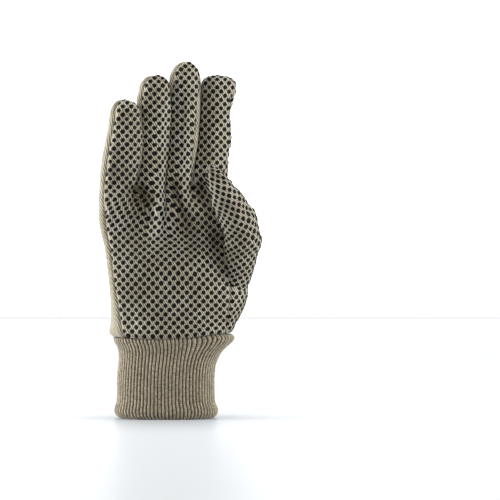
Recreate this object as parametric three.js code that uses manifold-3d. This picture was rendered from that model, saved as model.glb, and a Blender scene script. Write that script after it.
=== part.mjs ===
// Cotton work glove for the right hand, filled out as if worn and standing on its cuff.
// Millimetres, +Z from the cuff to the fingertips, palm towards -Y, thumb on the +X side.
// The origin is the middle of the opening for the hand, in the plane of the cuff's hem.
import * as THREE from "three";
import { mergeVertices } from "three/addons/utils/BufferGeometryUtils.js";
import Module from "manifold-3d";

const wasm = await Module();
wasm.setup();

// Driving sizes
const CUFF_HEIGHT = 59;
const CUFF_WIDTH = 72;
const CUFF_DEPTH = 50;
const RIB_COUNT = 76;
const RIB_RISE = 0.55;
const KNIT_THICKNESS = 1.5;
const HAND_HEIGHT = 109;
const PALM_WIDTH = 100;
const PALM_DEPTH = 42;
const CLOTH_THICKNESS = 1.3;
const FINGER_WIDTH = 22;
const FINGER_DEPTH = 20;
const LITTLE_LENGTH = 63.4;
const RING_LENGTH = 82;
const MIDDLE_LENGTH = 92.6;
const INDEX_LENGTH = 82.5;
const THUMB_RISE = 92;
const THUMB_WIDTH = 24.4;
const THUMB_DEPTH = 24;
const SEAM_GAP = 0.3;
const FOLD_DEPTH = 2.4;
const FOLD_WIDTH = 5;

// How the hand part is turned: each millimetre towards the thumb lies this much farther back.
const TURN = 0.14;
// Each millimetre towards the thumb lifts the crotches between the fingers this much.
const CROTCH_SLOPE = 0.1;
// How square the cross-sections are: 2 is an ellipse.
const HAND_POWER = 2.3;
const FINGER_POWER = 2.05;

// Columns of the skin's grid: across a finger's face, across a finger's side, rows along each part.
const FACE_COLUMNS = 5;
const SIDE_COLUMNS = 2;
const HAND_ROWS = 13;
const FINGER_ROWS = 7;
const CAP_ROWS = 4;
const THUMB_ROWS = 9;
const THUMB_COLUMNS = 18;
const CUFF_ROWS = 6;

// Angles of the seams in degrees: on the back, and between two fingers where they part.
const BACK_SEAM_ANGLE = 20;
const ROOT_SEAM = 28;
// The share of a finger's own place forwards or backwards that it has at its root already.
const ROOT_FORWARD = 0.45;
// Shares of a finger's length over which the tie to its neighbours and its root's form fade.
const TIE_FADE = 0.2;
const ROOT_FADE = 0.4;
// Shares of the hand's height: where the turn is full, and where the fingers' lobes begin.
const TURN_FULL = 0.35;
const LOBES_START = 0.5;
const LOBES_EASE = 1.5;
// A fold is this much shallower at its far end.
const FOLD_FADE = 0.6;
// Rows between the hem and the top of the cuff lie closer together at the hem.
const CUFF_ROW_EASE = 1.15;
// The share of a clearance by which a neighbour's room reaches past the seam.
const RIM_GROWTH = 0.9;

// Sections of the knit cuff. up: share of its height. left, right, deep: shares of its width and depth.
const CUFF_SECTIONS = [
  { up: 0, left: -0.475, right: 0.49, deep: 0.97 },
  { up: 0.04, left: -0.515, right: 0.512, deep: 1.01 },
  { up: 0.1, left: -0.528, right: 0.522, deep: 1.03 },
  { up: 0.22, left: -0.507, right: 0.492, deep: 1 },
  { up: 0.45, left: -0.501, right: 0.488, deep: 0.98 },
  { up: 0.62, left: -0.492, right: 0.496, deep: 0.96 },
  { up: 0.8, left: -0.484, right: 0.548, deep: 0.93 },
  { up: 0.9, left: -0.5, right: 0.62, deep: 0.93 },
  { up: 1, left: -0.555, right: 0.69, deep: 0.95 },
];

// Sections of the hand from the cuff to the crotches. up: share of its height. left, right, deep:
// shares of the palm's width and depth. leftSeam, rightSeam: angles of the palm's seams in degrees.
const HAND_SECTIONS = [
  { up: 0, left: -0.395, right: 0.481, deep: 1.13, leftSeam: 38, rightSeam: 26 },
  { up: 0.04, left: -0.408, right: 0.5, deep: 1.12, leftSeam: 37, rightSeam: 30 },
  { up: 0.12, left: -0.402, right: 0.542, deep: 1.08, leftSeam: 35, rightSeam: 38 },
  { up: 0.24, left: -0.404, right: 0.588, deep: 1.04, leftSeam: 32, rightSeam: 44 },
  { up: 0.3, left: -0.413, right: 0.602, deep: 1.02, leftSeam: 30, rightSeam: 45 },
  { up: 0.44, left: -0.428, right: 0.595, deep: 1, leftSeam: 27, rightSeam: 43 },
  { up: 0.58, left: -0.447, right: 0.566, deep: 0.95, leftSeam: 26, rightSeam: 38 },
  { up: 0.71, left: -0.473, right: 0.522, deep: 0.86, leftSeam: 27, rightSeam: 34 },
  { up: 0.85, left: -0.491, right: 0.471, deep: 0.74, leftSeam: 30, rightSeam: 32 },
  { up: 1, left: -0.49, right: 0.442, deep: 0.62, leftSeam: 36, rightSeam: 30 },
];

// Where the lines between two fingers run out below the crotches, as shares of the way across.
const FRONT_BORDERS = [0, 0.27, 0.49, 0.71, 1];
const BACK_BORDERS = [0, 0.18, 0.36, 0.7, 1];

// Sections of each finger from its crotch to where the tip's cap starts. up: share of its length.
// middle: share of the palm's width. wide: share of the finger's width. tip: the cap's highest place.
const FINGERS = [
  {
    name: "little",
    length: LITTLE_LENGTH,
    leftSeam: 40,
    rightSeam: 26,
    forward: -0.42,
    tip: -0.3,
    square: 2,
    sections: [
      { up: 0, middle: -0.3515, wide: 1.26, deep: 1.2 },
      { up: 0.27, middle: -0.33, wide: 1.3, deep: 1.06 },
      { up: 0.505, middle: -0.31, wide: 1.25, deep: 1 },
      { up: 0.694, middle: -0.297, wide: 1.15, deep: 0.95 },
      { up: 0.82, middle: -0.293, wide: 1.04, deep: 0.9 },
    ],
  },
  {
    name: "ring",
    length: RING_LENGTH,
    leftSeam: 50,
    rightSeam: 14,
    forward: -0.09,
    tip: -0.078,
    square: 2,
    sections: [
      { up: 0, middle: -0.11, wide: 0.936, deep: 1.2 },
      { up: 0.207, middle: -0.095, wide: 0.96, deep: 1.04 },
      { up: 0.39, middle: -0.084, wide: 1.02, deep: 0.98 },
      { up: 0.634, middle: -0.081, wide: 1.09, deep: 0.96 },
      { up: 0.78, middle: -0.091, wide: 1.15, deep: 0.94 },
      { up: 0.866, middle: -0.087, wide: 1.05, deep: 0.92 },
    ],
  },
  {
    name: "middle",
    length: MIDDLE_LENGTH,
    leftSeam: 38,
    rightSeam: 48,
    forward: 0.08,
    tip: 0.148,
    square: 2,
    sections: [
      { up: 0, middle: 0.0915, wide: 0.895, deep: 1.2 },
      { up: 0.184, middle: 0.105, wide: 0.94, deep: 1.04 },
      { up: 0.4, middle: 0.127, wide: 1.0, deep: 0.98 },
      { up: 0.615, middle: 0.136, wide: 1.0, deep: 0.96 },
      { up: 0.778, middle: 0.138, wide: 1.02, deep: 0.94 },
      { up: 0.864, middle: 0.132, wide: 1.05, deep: 0.92 },
    ],
  },
  {
    name: "index",
    length: INDEX_LENGTH,
    leftSeam: 18,
    rightSeam: 30,
    forward: 0.27,
    tip: 0.368,
    square: 3.2,
    sections: [
      { up: 0, middle: 0.315, wide: 1.136, deep: 1.2 },
      { up: 0.206, middle: 0.329, wide: 1.05, deep: 1.06 },
      { up: 0.448, middle: 0.352, wide: 1.03, deep: 1 },
      { up: 0.69, middle: 0.353, wide: 0.98, deep: 0.98 },
      { up: 0.848, middle: 0.372, wide: 1.1, deep: 0.94 },
    ],
  },
];

// Sections of the thumb from the heel of the hand to its tip. up: share of its rise. middle: share
// of the palm's width. forward: share of the palm's depth. wide, deep: shares of its own sizes.
const THUMB_SECTIONS = [
  { up: 0, middle: 0.49, forward: 0.06, wide: 0.66, deep: 0.6 },
  { up: 0.12, middle: 0.522, forward: 0.03, wide: 0.79, deep: 0.9 },
  { up: 0.26, middle: 0.541, forward: -0.06, wide: 0.9, deep: 1.08 },
  { up: 0.42, middle: 0.548, forward: -0.22, wide: 1.16, deep: 1.14 },
  { up: 0.57, middle: 0.522, forward: -0.39, wide: 1.15, deep: 1.08 },
  { up: 0.7, middle: 0.47, forward: -0.53, wide: 1.07, deep: 0.98 },
  { up: 0.82, middle: 0.414, forward: -0.64, wide: 0.9, deep: 0.82 },
  { up: 0.92, middle: 0.366, forward: -0.71, wide: 0.62, deep: 0.6 },
];
const THUMB_TIP = { middle: 0.337, forward: -0.75, square: 1.8 };
const THUMB_CAP_ROWS = [0.955, 0.985];
// Where the thumb starts, as a share of the hand's height.
const THUMB_BASE = 0.296;

// Folds. fromX, toX: shares of the palm's width. fromUp, toUp: shares of the hand's height.
// rise: share of the fold's depth, below nought for a valley. wide: share of the fold's width.
const PALM_FOLDS = [
  { fromX: -0.21, toX: -0.09, fromUp: 1.02, toUp: 0.76, rise: -1.1, wide: 1 },
  { fromX: -0.03, toX: -0.05, fromUp: 0.95, toUp: 0.72, rise: 0.7, wide: 0.8 },
  { fromX: 0.01, toX: 0.19, fromUp: 1.02, toUp: 0.74, rise: -1.1, wide: 1 },
  { fromX: 0.14, toX: 0.17, fromUp: 0.92, toUp: 0.66, rise: 0.6, wide: 0.9 },
  { fromX: 0.25, toX: 0.43, fromUp: 0.96, toUp: 0.48, rise: -1.2, wide: 1.3 },
];
const BACK_FOLDS = [
  { fromX: 0.19, toX: 0.12, fromUp: 1.02, toUp: 0.35, rise: -0.8, wide: 1.1 },
  { fromX: -0.02, toX: -0.06, fromUp: 1, toUp: 0.3, rise: -0.7, wide: 1.1 },
  { fromX: -0.22, toX: -0.26, fromUp: 1.02, toUp: 0.5, rise: -0.9, wide: 1 },
];

const COTTON = { color: "#b7ae98", roughness: 0.95, metalness: 0 };
const DOTTED_COTTON = { color: "#6f6a5e", roughness: 0.85, metalness: 0 };
const HEATHER_KNIT = { color: "#a89d88", roughness: 0.97, metalness: 0 };

const radians = THREE.MathUtils.degToRad;
const mix = THREE.MathUtils.lerp;
const { smoothstep } = THREE.MathUtils;

// The value of one column of a table at a share of the way up, eased between its rows.
function along(table, up, column) {
  const next = Math.max(1, table.findIndex((row) => row.up >= up));
  const last = up > table.at(-1).up ? table.length - 1 : next;
  const low = table[last - 1];
  const high = table[last];
  const share = THREE.MathUtils.clamp((up - low.up) / (high.up - low.up), 0, 1);
  return mix(low[column], high[column], share);
}

// A point of a rounded section at an angle: 0 towards +X, a quarter turn towards +Y.
function sectionPoint(middle, halfWidth, halfDepth, angle, power) {
  const bend = (value) => Math.sign(value) * Math.abs(value) ** (2 / power);
  const x = middle.x + halfWidth * bend(Math.cos(angle));
  const y = middle.y + halfDepth * bend(Math.sin(angle)) + TURN * x;
  return new THREE.Vector3(x, y, middle.z);
}

// The angle of a grid column. side names the face, across is the share of the way over it.
function columnAngle(side, across, leftSeam, rightSeam) {
  const left = radians(leftSeam);
  const right = radians(rightSeam);
  const back = radians(BACK_SEAM_ANGLE);
  if (side === "front") return mix(Math.PI + left, 2 * Math.PI - right, across);
  if (side === "right") return mix(-right, back, across);
  if (side === "back") return mix(back, Math.PI - back, across);
  return mix(Math.PI - back, Math.PI + left, across);
}

// How much folds lift the skin at a place of the hand.
function foldRise(folds, x, up) {
  let rise = 0;
  for (const fold of folds) {
    const from = new THREE.Vector2(fold.fromX * PALM_WIDTH, fold.fromUp * HAND_HEIGHT);
    const to = new THREE.Vector2(fold.toX * PALM_WIDTH, fold.toUp * HAND_HEIGHT);
    const run = to.clone().sub(from);
    const place = new THREE.Vector2(x, up * HAND_HEIGHT).sub(from);
    const share = THREE.MathUtils.clamp(place.dot(run) / run.lengthSq(), 0, 1);
    const away = place.sub(run.multiplyScalar(share)).length() / (fold.wide * FOLD_WIDTH);
    rise += fold.rise * FOLD_DEPTH * Math.exp(-away * away) * (1 - FOLD_FADE * share);
  }
  return rise;
}

// The hand's section without fingers, at a share of its height.
function handPoint(up, column) {
  const row = (name) => along(HAND_SECTIONS, up, name);
  const left = row("left") * PALM_WIDTH;
  const right = row("right") * PALM_WIDTH;
  const middle = new THREE.Vector3((left + right) / 2, 0, CUFF_HEIGHT + SEAM_GAP / 2 + up * HAND_HEIGHT);
  const angle = columnAngle(column.side, handAcross(column), row("leftSeam"), row("rightSeam"));
  const point = sectionPoint(middle, (right - left) / 2, (row("deep") * PALM_DEPTH) / 2, angle, HAND_POWER);
  point.y -= TURN * (1 - smoothstep(up, 0, TURN_FULL)) * point.x;
  point.z += CROTCH_SLOPE * point.x * smoothstep(up, TURN_FULL, 1);
  const facing = Math.sin(angle);
  if (facing < 0) point.y += facing * foldRise(PALM_FOLDS, point.x, up);
  if (facing > 0) point.y += facing * foldRise(BACK_FOLDS, point.x, up);
  return point;
}

// The share of the way across the hand's face at which a finger's column lies.
function handAcross({ side, finger, across }) {
  if (side === "front") return mix(FRONT_BORDERS[finger], FRONT_BORDERS[finger + 1], across);
  const last = FINGERS.length - 1 - finger;
  const borders = BACK_BORDERS.map((value) => 1 - value).reverse();
  if (side === "back") return mix(borders[last], borders[last + 1], across);
  return across;
}

// A finger's section at a share of its length, without what ties it to its neighbours.
function freeFingerPoint(finger, up, side, across) {
  const spec = FINGERS[finger];
  const capStart = spec.sections.at(-1).up;
  const capShare = THREE.MathUtils.clamp((up - capStart) / (1 - capStart), 0, 1);
  const narrow = (1 - capShare ** spec.square) ** (1 / spec.square);
  const row = (name) => along(spec.sections, Math.min(up, capStart), name);
  const x = mix(row("middle"), spec.tip, capShare ** 2) * PALM_WIDTH;
  const y = spec.forward * FINGER_DEPTH * mix(ROOT_FORWARD, 1, smoothstep(up, 0, ROOT_FADE));
  const middle = new THREE.Vector3(x, y, CUFF_HEIGHT + SEAM_GAP / 2 + HAND_HEIGHT + up * spec.length);
  const halfWidth = (row("wide") * FINGER_WIDTH * narrow) / 2;
  const halfDepth = (row("deep") * FINGER_DEPTH * narrow) / 2;
  const rooted = 1 - smoothstep(up, 0, ROOT_FADE);
  const leftSeam = finger > 0 ? mix(spec.leftSeam, ROOT_SEAM, rooted) : spec.leftSeam;
  const rightSeam = finger < FINGERS.length - 1 ? mix(spec.rightSeam, ROOT_SEAM, rooted) : spec.rightSeam;
  const angle = columnAngle(side, across, leftSeam, rightSeam);
  const point = sectionPoint(middle, halfWidth, halfDepth, angle, FINGER_POWER);
  point.z += CROTCH_SLOPE * point.x * (1 - up);
  return point;
}

// A finger's root: next to a neighbour, both share the places half way between them.
function rootPoint(finger, side, across) {
  const own = freeFingerPoint(finger, 0, side, across);
  const meets = (other, otherSide, otherAcross) =>
    own.clone().add(freeFingerPoint(other, 0, otherSide, otherAcross)).multiplyScalar(0.5);
  const hasLeft = finger > 0;
  const hasRight = finger < FINGERS.length - 1;
  if (side === "right" && hasRight) return meets(finger + 1, "left", 1 - across);
  if (side === "left" && hasLeft) return meets(finger - 1, "right", 1 - across);
  if (side === "front" && across === 0 && hasLeft) return meets(finger - 1, "right", 0);
  if (side === "front" && across === 1 && hasRight) return meets(finger + 1, "left", 1);
  if (side === "back" && across === 0 && hasRight) return meets(finger + 1, "left", 0);
  if (side === "back" && across === 1 && hasLeft) return meets(finger - 1, "right", 1);
  return own;
}

function fingerPoint(finger, up, side, across) {
  const free = freeFingerPoint(finger, up, side, across);
  const tie = rootPoint(finger, side, across).sub(freeFingerPoint(finger, 0, side, across));
  return free.addScaledVector(tie, 1 - smoothstep(up, 0, TIE_FADE));
}

// The hand's skin: its own section below, growing into the fingers' roots at the crotches.
function handSkinPoint(up, column) {
  const point = handPoint(up, column);
  const lobes = rootPoint(column.finger, column.side, column.across).sub(handPoint(1, column));
  return point.addScaledVector(lobes, smoothstep(up, LOBES_START, 1) ** LOBES_EASE);
}

// The names of the cloth pieces, by the side and finger that a face of the skin belongs to.
function panelOf(side, finger) {
  if (finger === 3 && side !== "front") return "forefinger_back_panel";
  if (side === "front") return "palm_panel";
  return finger === 2 ? "middle_back_panel" : "outer_back_panel";
}

// The skin as one grid of shared vertices, with each face's panel.
class Skin {
  constructor() {
    this.points = [];
    this.faces = [];
    this.webNormals = new Map();
  }

  addPoint(point) {
    return this.points.push(point) - 1;
  }

  // Faces between two rows of vertex numbers of equal length, taken in order.
  addStrip(low, high, panels) {
    panels.forEach((panel, i) => {
      this.addFace([low[i], low[i + 1], high[i + 1]], panel);
      this.addFace([low[i], high[i + 1], high[i]], panel);
    });
  }

  addFace(corners, panel) {
    if (new Set(corners).size === 3) this.faces.push({ corners, panel });
  }
}

// One side of a finger as columns, each at the start of its face, in order around the skin.
function columnsOf(side, finger) {
  const count = side === "front" || side === "back" ? FACE_COLUMNS : SIDE_COLUMNS;
  return Array.from({ length: count }, (_, i) => ({ side, finger, across: i / count }));
}

function buildSkin() {
  const skin = new Skin();
  const last = FINGERS.length - 1;
  const numbers = FINGERS.map((_, finger) => finger);
  const around = [
    ...numbers.flatMap((finger) => columnsOf("front", finger)),
    ...columnsOf("right", last),
    ...numbers.toReversed().flatMap((finger) => columnsOf("back", finger)),
    ...columnsOf("left", 0),
  ];
  const panels = around.map(({ side, finger }) => panelOf(side, finger));
  let below;
  for (let row = 0; row <= HAND_ROWS; row += 1) {
    const ring = around.map((column) => skin.addPoint(handSkinPoint(row / HAND_ROWS, column)));
    ring.push(ring[0]);
    if (below) skin.addStrip(below, ring, panels);
    below = ring;
  }
  addFingers(skin, around, below);
  return skin;
}

// The fingers grow from the hand's top row. Neighbours share the web between them.
function addFingers(skin, around, topRow) {
  const key = (column) => `${column.side}${column.finger}:${column.across}`;
  const numberOf = new Map(around.map((column, i) => [key(column), topRow[i]]));
  const last = FINGERS.length - 1;
  // A finger's first column on a side is also the last column of the side before it.
  const start = (side, finger) => numberOf.get(key({ side, finger, across: 0 }));
  const webs = [];
  for (let finger = 0; finger < last; finger += 1) {
    const inner = columnsOf("right", finger).slice(1);
    const middle = inner.map(({ across }) => skin.addPoint(rootPoint(finger, "right", across)));
    const web = [start("front", finger + 1), ...middle, start("back", finger)];
    web.forEach((number, i) => {
      const backwards = Math.sign(2 * i - web.length + 1);
      skin.webNormals.set(number, new THREE.Vector3(0, backwards, 1).normalize());
    });
    webs.push(web);
  }
  FINGERS.forEach((spec, finger) => {
    const sides = ["front", "right", "back", "left"];
    const columns = sides.flatMap((side) => columnsOf(side, finger));
    let below = columns.map((column) => numberOf.get(key(column)));
    if (finger < last) fillWeb(below, FACE_COLUMNS, webs[finger]);
    if (finger > 0) fillWeb(below, 2 * FACE_COLUMNS + SIDE_COLUMNS, webs[finger - 1].toReversed());
    below.push(below[0]);
    const panels = columns.map(({ side }) => panelOf(side, finger));
    for (const up of fingerHeights(spec)) {
      const place = ({ side, across }) => skin.addPoint(fingerPoint(finger, up, side, across));
      const pole = up === 1 ? place(columns[0]) : undefined;
      const ring = columns.map((column) => pole ?? place(column));
      ring.push(ring[0]);
      skin.addStrip(below, ring, panels);
      below = ring;
    }
  });
}

function fillWeb(ring, at, web) {
  web.forEach((number, i) => {
    ring[(at + i) % (2 * (FACE_COLUMNS + SIDE_COLUMNS))] = number;
  });
}

// Even steps up to the cap, then steps that follow its round.
function fingerHeights(spec) {
  const capStart = spec.sections.at(-1).up;
  const shaft = Array.from({ length: FINGER_ROWS }, (_, i) => (capStart * (i + 1)) / FINGER_ROWS);
  const cap = Array.from({ length: CAP_ROWS }, (_, i) => {
    const turn = (Math.PI / 2) * ((i + 1) / CAP_ROWS);
    return mix(capStart, 1, Math.sin(turn) ** (2 / spec.square));
  });
  return [...shaft, ...cap.slice(0, -1), 1];
}

// Directions out of the skin at each vertex. A web's own are given: its two sides face each other.
function normalsOf(skin) {
  const { points } = skin;
  const normals = points.map(() => new THREE.Vector3());
  for (const { corners: [a, b, c] } of skin.faces) {
    const ab = points[b].clone().sub(points[a]);
    const normal = ab.cross(points[c].clone().sub(points[a]));
    for (const corner of [a, b, c]) normals[corner].add(normal);
  }
  return normals.map((normal, i) => skin.webNormals.get(i) ?? normal.normalize());
}

// The vertices of a panel, those on its rim moved into the panel by a distance.
function drawnBack(points, triangles, distance) {
  const moved = points.map((point) => point.clone());
  const inward = new Map();
  for (const [a, b] of rimEdges(triangles)) {
    const run = points[b].clone().sub(points[a]).normalize();
    const face = triangles.find((t) => t.includes(a) && t.includes(b));
    const opposite = face.find((corner) => corner !== a && corner !== b);
    const into = points[opposite].clone().sub(points[a]);
    into.addScaledVector(run, -into.dot(run)).normalize();
    for (const corner of [a, b]) {
      if (!inward.has(corner)) inward.set(corner, new THREE.Vector3());
      inward.get(corner).add(into);
    }
  }
  for (const [corner, into] of inward) {
    moved[corner].addScaledVector(into.normalize(), distance);
  }
  return moved;
}

// Edges that only one triangle has, in that triangle's own order.
function rimEdges(triangles) {
  const seen = new Map();
  for (const [a, b, c] of triangles) {
    for (const [from, to] of [[a, b], [b, c], [c, a]]) seen.set(`${from},${to}`, [from, to]);
  }
  return [...seen.values()].filter(([from, to]) => !seen.has(`${to},${from}`));
}

// A sheet of cloth: the outer faces, the same faces moved inwards, and walls round the rim.
// grown makes it larger all round, as the room that its neighbours leave free.
function sheetGeometry(points, triangles, normals, grown) {
  const used = [...new Set(triangles.flat())];
  const number = new Map(used.map((vertex, i) => [vertex, i]));
  const rim = drawnBack(points, triangles, SEAM_GAP / 2 - RIM_GROWTH * grown);
  const outer = rim.map((point, i) => point.clone().addScaledVector(normals[i], grown));
  const depth = CLOTH_THICKNESS + 2 * grown;
  const inner = outer.map((point, i) => point.clone().addScaledVector(normals[i], -depth));
  const positions = [...used.map((i) => outer[i]), ...used.map((i) => inner[i])];
  const faces = [];
  for (const [a, b, c] of triangles) {
    const [p, q, r] = [a, b, c].map((corner) => number.get(corner));
    faces.push([p, q, r], [p + used.length, r + used.length, q + used.length]);
  }
  // Each wall is split on the diagonal that the panel across the seam takes too.
  for (const [from, to] of rimEdges(triangles)) {
    const [p, q] = [from, to].map((corner) => number.get(corner));
    const [pIn, qIn] = [p + used.length, q + used.length];
    if (from < to) faces.push([q, p, qIn], [p, pIn, qIn]);
    else faces.push([q, p, pIn], [q, pIn, qIn]);
  }
  return geometryOf(positions, faces);
}

function geometryOf(points, triangles) {
  const geometry = new THREE.BufferGeometry();
  geometry.setAttribute("position", new THREE.Float32BufferAttribute(points.flatMap((p) => p.toArray()), 3));
  geometry.setIndex(triangles.flat());
  return geometry;
}

// Rings of equal length joined to a closed body, with a fan over each end.
function closedBody(rings) {
  const points = rings.flat();
  const count = rings[0].length;
  const triangles = [];
  for (let row = 0; row + 1 < rings.length; row += 1) {
    for (let i = 0; i < count; i += 1) {
      const a = row * count + i;
      const b = row * count + ((i + 1) % count);
      triangles.push([a, b, b + count], [a, b + count, a + count]);
    }
  }
  const centre = (ring) => ring.reduce((sum, p) => sum.add(p), new THREE.Vector3()).divideScalar(count);
  const bottom = points.push(centre(rings[0])) - 1;
  const top = points.push(centre(rings.at(-1))) - 1;
  const lastRow = (rings.length - 1) * count;
  for (let i = 0; i < count; i += 1) {
    const next = (i + 1) % count;
    triangles.push([bottom, next, i], [top, lastRow + i, lastRow + next]);
  }
  return geometryOf(points, triangles);
}

function solidOf(geometry) {
  const merged = mergeVertices(geometry, 1e-4);
  const vertProperties = merged.attributes.position.array;
  return new wasm.Manifold(
    new wasm.Mesh({ numProp: 3, vertProperties, triVerts: new Uint32Array(merged.index.array) }),
  );
}

function geometryFrom(solid) {
  const { vertProperties, triVerts } = solid.getMesh();
  const geometry = new THREE.BufferGeometry();
  geometry.setAttribute("position", new THREE.BufferAttribute(vertProperties, 3));
  geometry.setIndex(new THREE.BufferAttribute(triVerts, 1));
  return geometry;
}

// The thumb's outside moved out by a distance, or in where it is below nought.
function thumbBody(grown) {
  const capStart = THUMB_SECTIONS.at(-1).up;
  const heights = Array.from({ length: THUMB_ROWS }, (_, i) => (capStart * i) / (THUMB_ROWS - 1));
  const angles = Array.from({ length: THUMB_COLUMNS }, (_, i) => (2 * Math.PI * i) / THUMB_COLUMNS);
  const ring = (up) => angles.map((angle) => thumbPoint(up, angle, grown));
  return solidOf(closedBody([...heights, ...THUMB_CAP_ROWS].map(ring)));
}

function thumbPoint(up, angle, grown) {
  const capStart = THUMB_SECTIONS.at(-1).up;
  const capShare = THREE.MathUtils.clamp((up - capStart) / (1 - capStart), 0, 1);
  const narrow = (1 - capShare ** THUMB_TIP.square) ** (1 / THUMB_TIP.square);
  const row = (name) => along(THUMB_SECTIONS, Math.min(up, capStart), name);
  const middle = new THREE.Vector3(
    mix(row("middle"), THUMB_TIP.middle, capShare) * PALM_WIDTH,
    mix(row("forward"), THUMB_TIP.forward, capShare) * PALM_DEPTH,
    CUFF_HEIGHT + THUMB_BASE * HAND_HEIGHT + up * (THUMB_RISE + grown),
  );
  const halfWidth = (row("wide") * THUMB_WIDTH * narrow) / 2 + grown;
  const halfDepth = (row("deep") * THUMB_DEPTH * narrow) / 2 + grown;
  const point = sectionPoint(middle, halfWidth, halfDepth, angle, FINGER_POWER);
  point.y -= TURN * middle.x;
  return point;
}

// The hand and fingers as one closed body, moved out by a distance.
function handBody(skin, grown) {
  const triangles = skin.faces.map(({ corners }) => corners);
  const normals = normalsOf(skin);
  const points = skin.points.map((p, i) => p.clone().addScaledVector(normals[i], grown));
  const hem = rimEdges(triangles);
  const centre = points.push(new THREE.Vector3(0, 0, CUFF_HEIGHT - grown)) - 1;
  return solidOf(geometryOf(points, [...triangles, ...hem.map(([from, to]) => [to, from, centre])]));
}

// The cuff: ribs run up its outside and fan out where it widens to meet the hand.
function cuffGeometry() {
  const columns = 2 * RIB_COUNT;
  const outer = [];
  const inner = [];
  for (let row = 0; row <= CUFF_ROWS; row += 1) {
    const up = (row / CUFF_ROWS) ** CUFF_ROW_EASE;
    for (let i = 0; i < columns; i += 1) {
      const rib = i % 2 === 0 ? RIB_RISE / 2 : -RIB_RISE / 2;
      const angle = (2 * Math.PI * i) / columns;
      outer.push(cuffPoint(up, angle, rib));
      inner.push(cuffPoint(up, angle, -KNIT_THICKNESS));
    }
  }
  return tubeGeometry(outer, inner, columns);
}

function cuffPoint(up, angle, outwards) {
  const row = (name) => along(CUFF_SECTIONS, up, name);
  const left = row("left") * CUFF_WIDTH - outwards;
  const right = row("right") * CUFF_WIDTH + outwards;
  const middle = new THREE.Vector3((left + right) / 2, 0, up * (CUFF_HEIGHT - SEAM_GAP / 2));
  const halfDepth = (row("deep") * CUFF_DEPTH) / 2 + outwards;
  const point = sectionPoint(middle, (right - left) / 2, halfDepth, angle, HAND_POWER);
  point.y -= TURN * point.x;
  return point;
}

// A tube with walls from an outer and an inner grid of equal size, open at both ends.
function tubeGeometry(outer, inner, columns) {
  const triangles = [];
  const rows = outer.length / columns;
  const shift = outer.length;
  for (let row = 0; row < rows; row += 1) {
    for (let i = 0; i < columns; i += 1) {
      const a = row * columns + i;
      const b = row * columns + ((i + 1) % columns);
      if (row + 1 < rows) {
        triangles.push([a, b, b + columns], [a, b + columns, a + columns]);
        triangles.push([a + shift, b + columns + shift, b + shift]);
        triangles.push([a + shift, a + columns + shift, b + columns + shift]);
      }
      if (row === 0) triangles.push([a, a + shift, b + shift], [a, b + shift, b]);
      if (row === rows - 1) triangles.push([a, b + shift, a + shift], [a, b, b + shift]);
    }
  }
  return geometryOf([...outer, ...inner], triangles);
}

// The largest single body of a solid: cutting can leave crumbs of cloth beside it.
function mainBody(solid) {
  return solid.decompose().reduce((best, body) => (body.volume() > best.volume() ? body : best));
}

function pieceOf(name, geometry, look) {
  const piece = new THREE.Mesh(geometry, new THREE.MeshStandardMaterial(look));
  piece.name = name;
  return piece;
}

// Cloth pieces of the hand, each clear of those before it, and cut out where the thumb opens into it.
function panelPieces(skin) {
  const normals = normalsOf(skin);
  const looks = {
    palm_panel: DOTTED_COTTON,
    forefinger_back_panel: DOTTED_COTTON,
    middle_back_panel: COTTON,
    outer_back_panel: COTTON,
  };
  let taken = thumbBody(SEAM_GAP);
  return Object.entries(looks).map(([name, look]) => {
    const triangles = skin.faces.filter(({ panel }) => panel === name).map(({ corners }) => corners);
    const sheet = solidOf(sheetGeometry(skin.points, triangles, normals, 0));
    const body = mainBody(sheet.subtract(taken));
    taken = taken.add(solidOf(sheetGeometry(skin.points, triangles, normals, SEAM_GAP)));
    return pieceOf(name, geometryFrom(body), look);
  });
}

function thumbPiece(skin) {
  const shell = thumbBody(0).subtract(thumbBody(-CLOTH_THICKNESS));
  return pieceOf("thumb", geometryFrom(mainBody(shell.subtract(handBody(skin, SEAM_GAP)))), DOTTED_COTTON);
}

const skin = buildSkin();
const glove = new THREE.Group();
glove.add(...panelPieces(skin));
glove.add(thumbPiece(skin));
glove.add(pieceOf("knit_cuff", cuffGeometry(), HEATHER_KNIT));

export default glove;
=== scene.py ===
"""Looks of a right-hand cotton work glove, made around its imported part.

Lengths in the tables are millimetres or shares of named lengths; meshes are made in metres.
The glove stands on its cuff, palm towards -Y, thumb on the +X side.
"""

from __future__ import annotations

import logging
import math
from collections.abc import Callable
from dataclasses import dataclass, field
from enum import Enum
from functools import partial

import bpy
import numpy as np
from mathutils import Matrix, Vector
from mathutils.bvhtree import BVHTree

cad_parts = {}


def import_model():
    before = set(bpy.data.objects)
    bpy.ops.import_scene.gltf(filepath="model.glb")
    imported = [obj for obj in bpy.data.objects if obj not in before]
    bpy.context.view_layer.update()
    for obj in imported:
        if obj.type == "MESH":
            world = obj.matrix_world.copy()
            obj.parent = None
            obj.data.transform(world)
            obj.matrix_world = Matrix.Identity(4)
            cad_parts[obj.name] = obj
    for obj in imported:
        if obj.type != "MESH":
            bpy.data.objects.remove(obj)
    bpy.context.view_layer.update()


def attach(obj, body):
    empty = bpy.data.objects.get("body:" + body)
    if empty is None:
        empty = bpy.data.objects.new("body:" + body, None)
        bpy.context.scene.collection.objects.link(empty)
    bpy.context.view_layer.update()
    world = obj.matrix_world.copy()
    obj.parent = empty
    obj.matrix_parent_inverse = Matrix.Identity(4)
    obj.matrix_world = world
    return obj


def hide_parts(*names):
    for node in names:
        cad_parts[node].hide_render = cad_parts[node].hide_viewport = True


LOG = logging.getLogger("glove")
MM = 0.001

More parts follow.
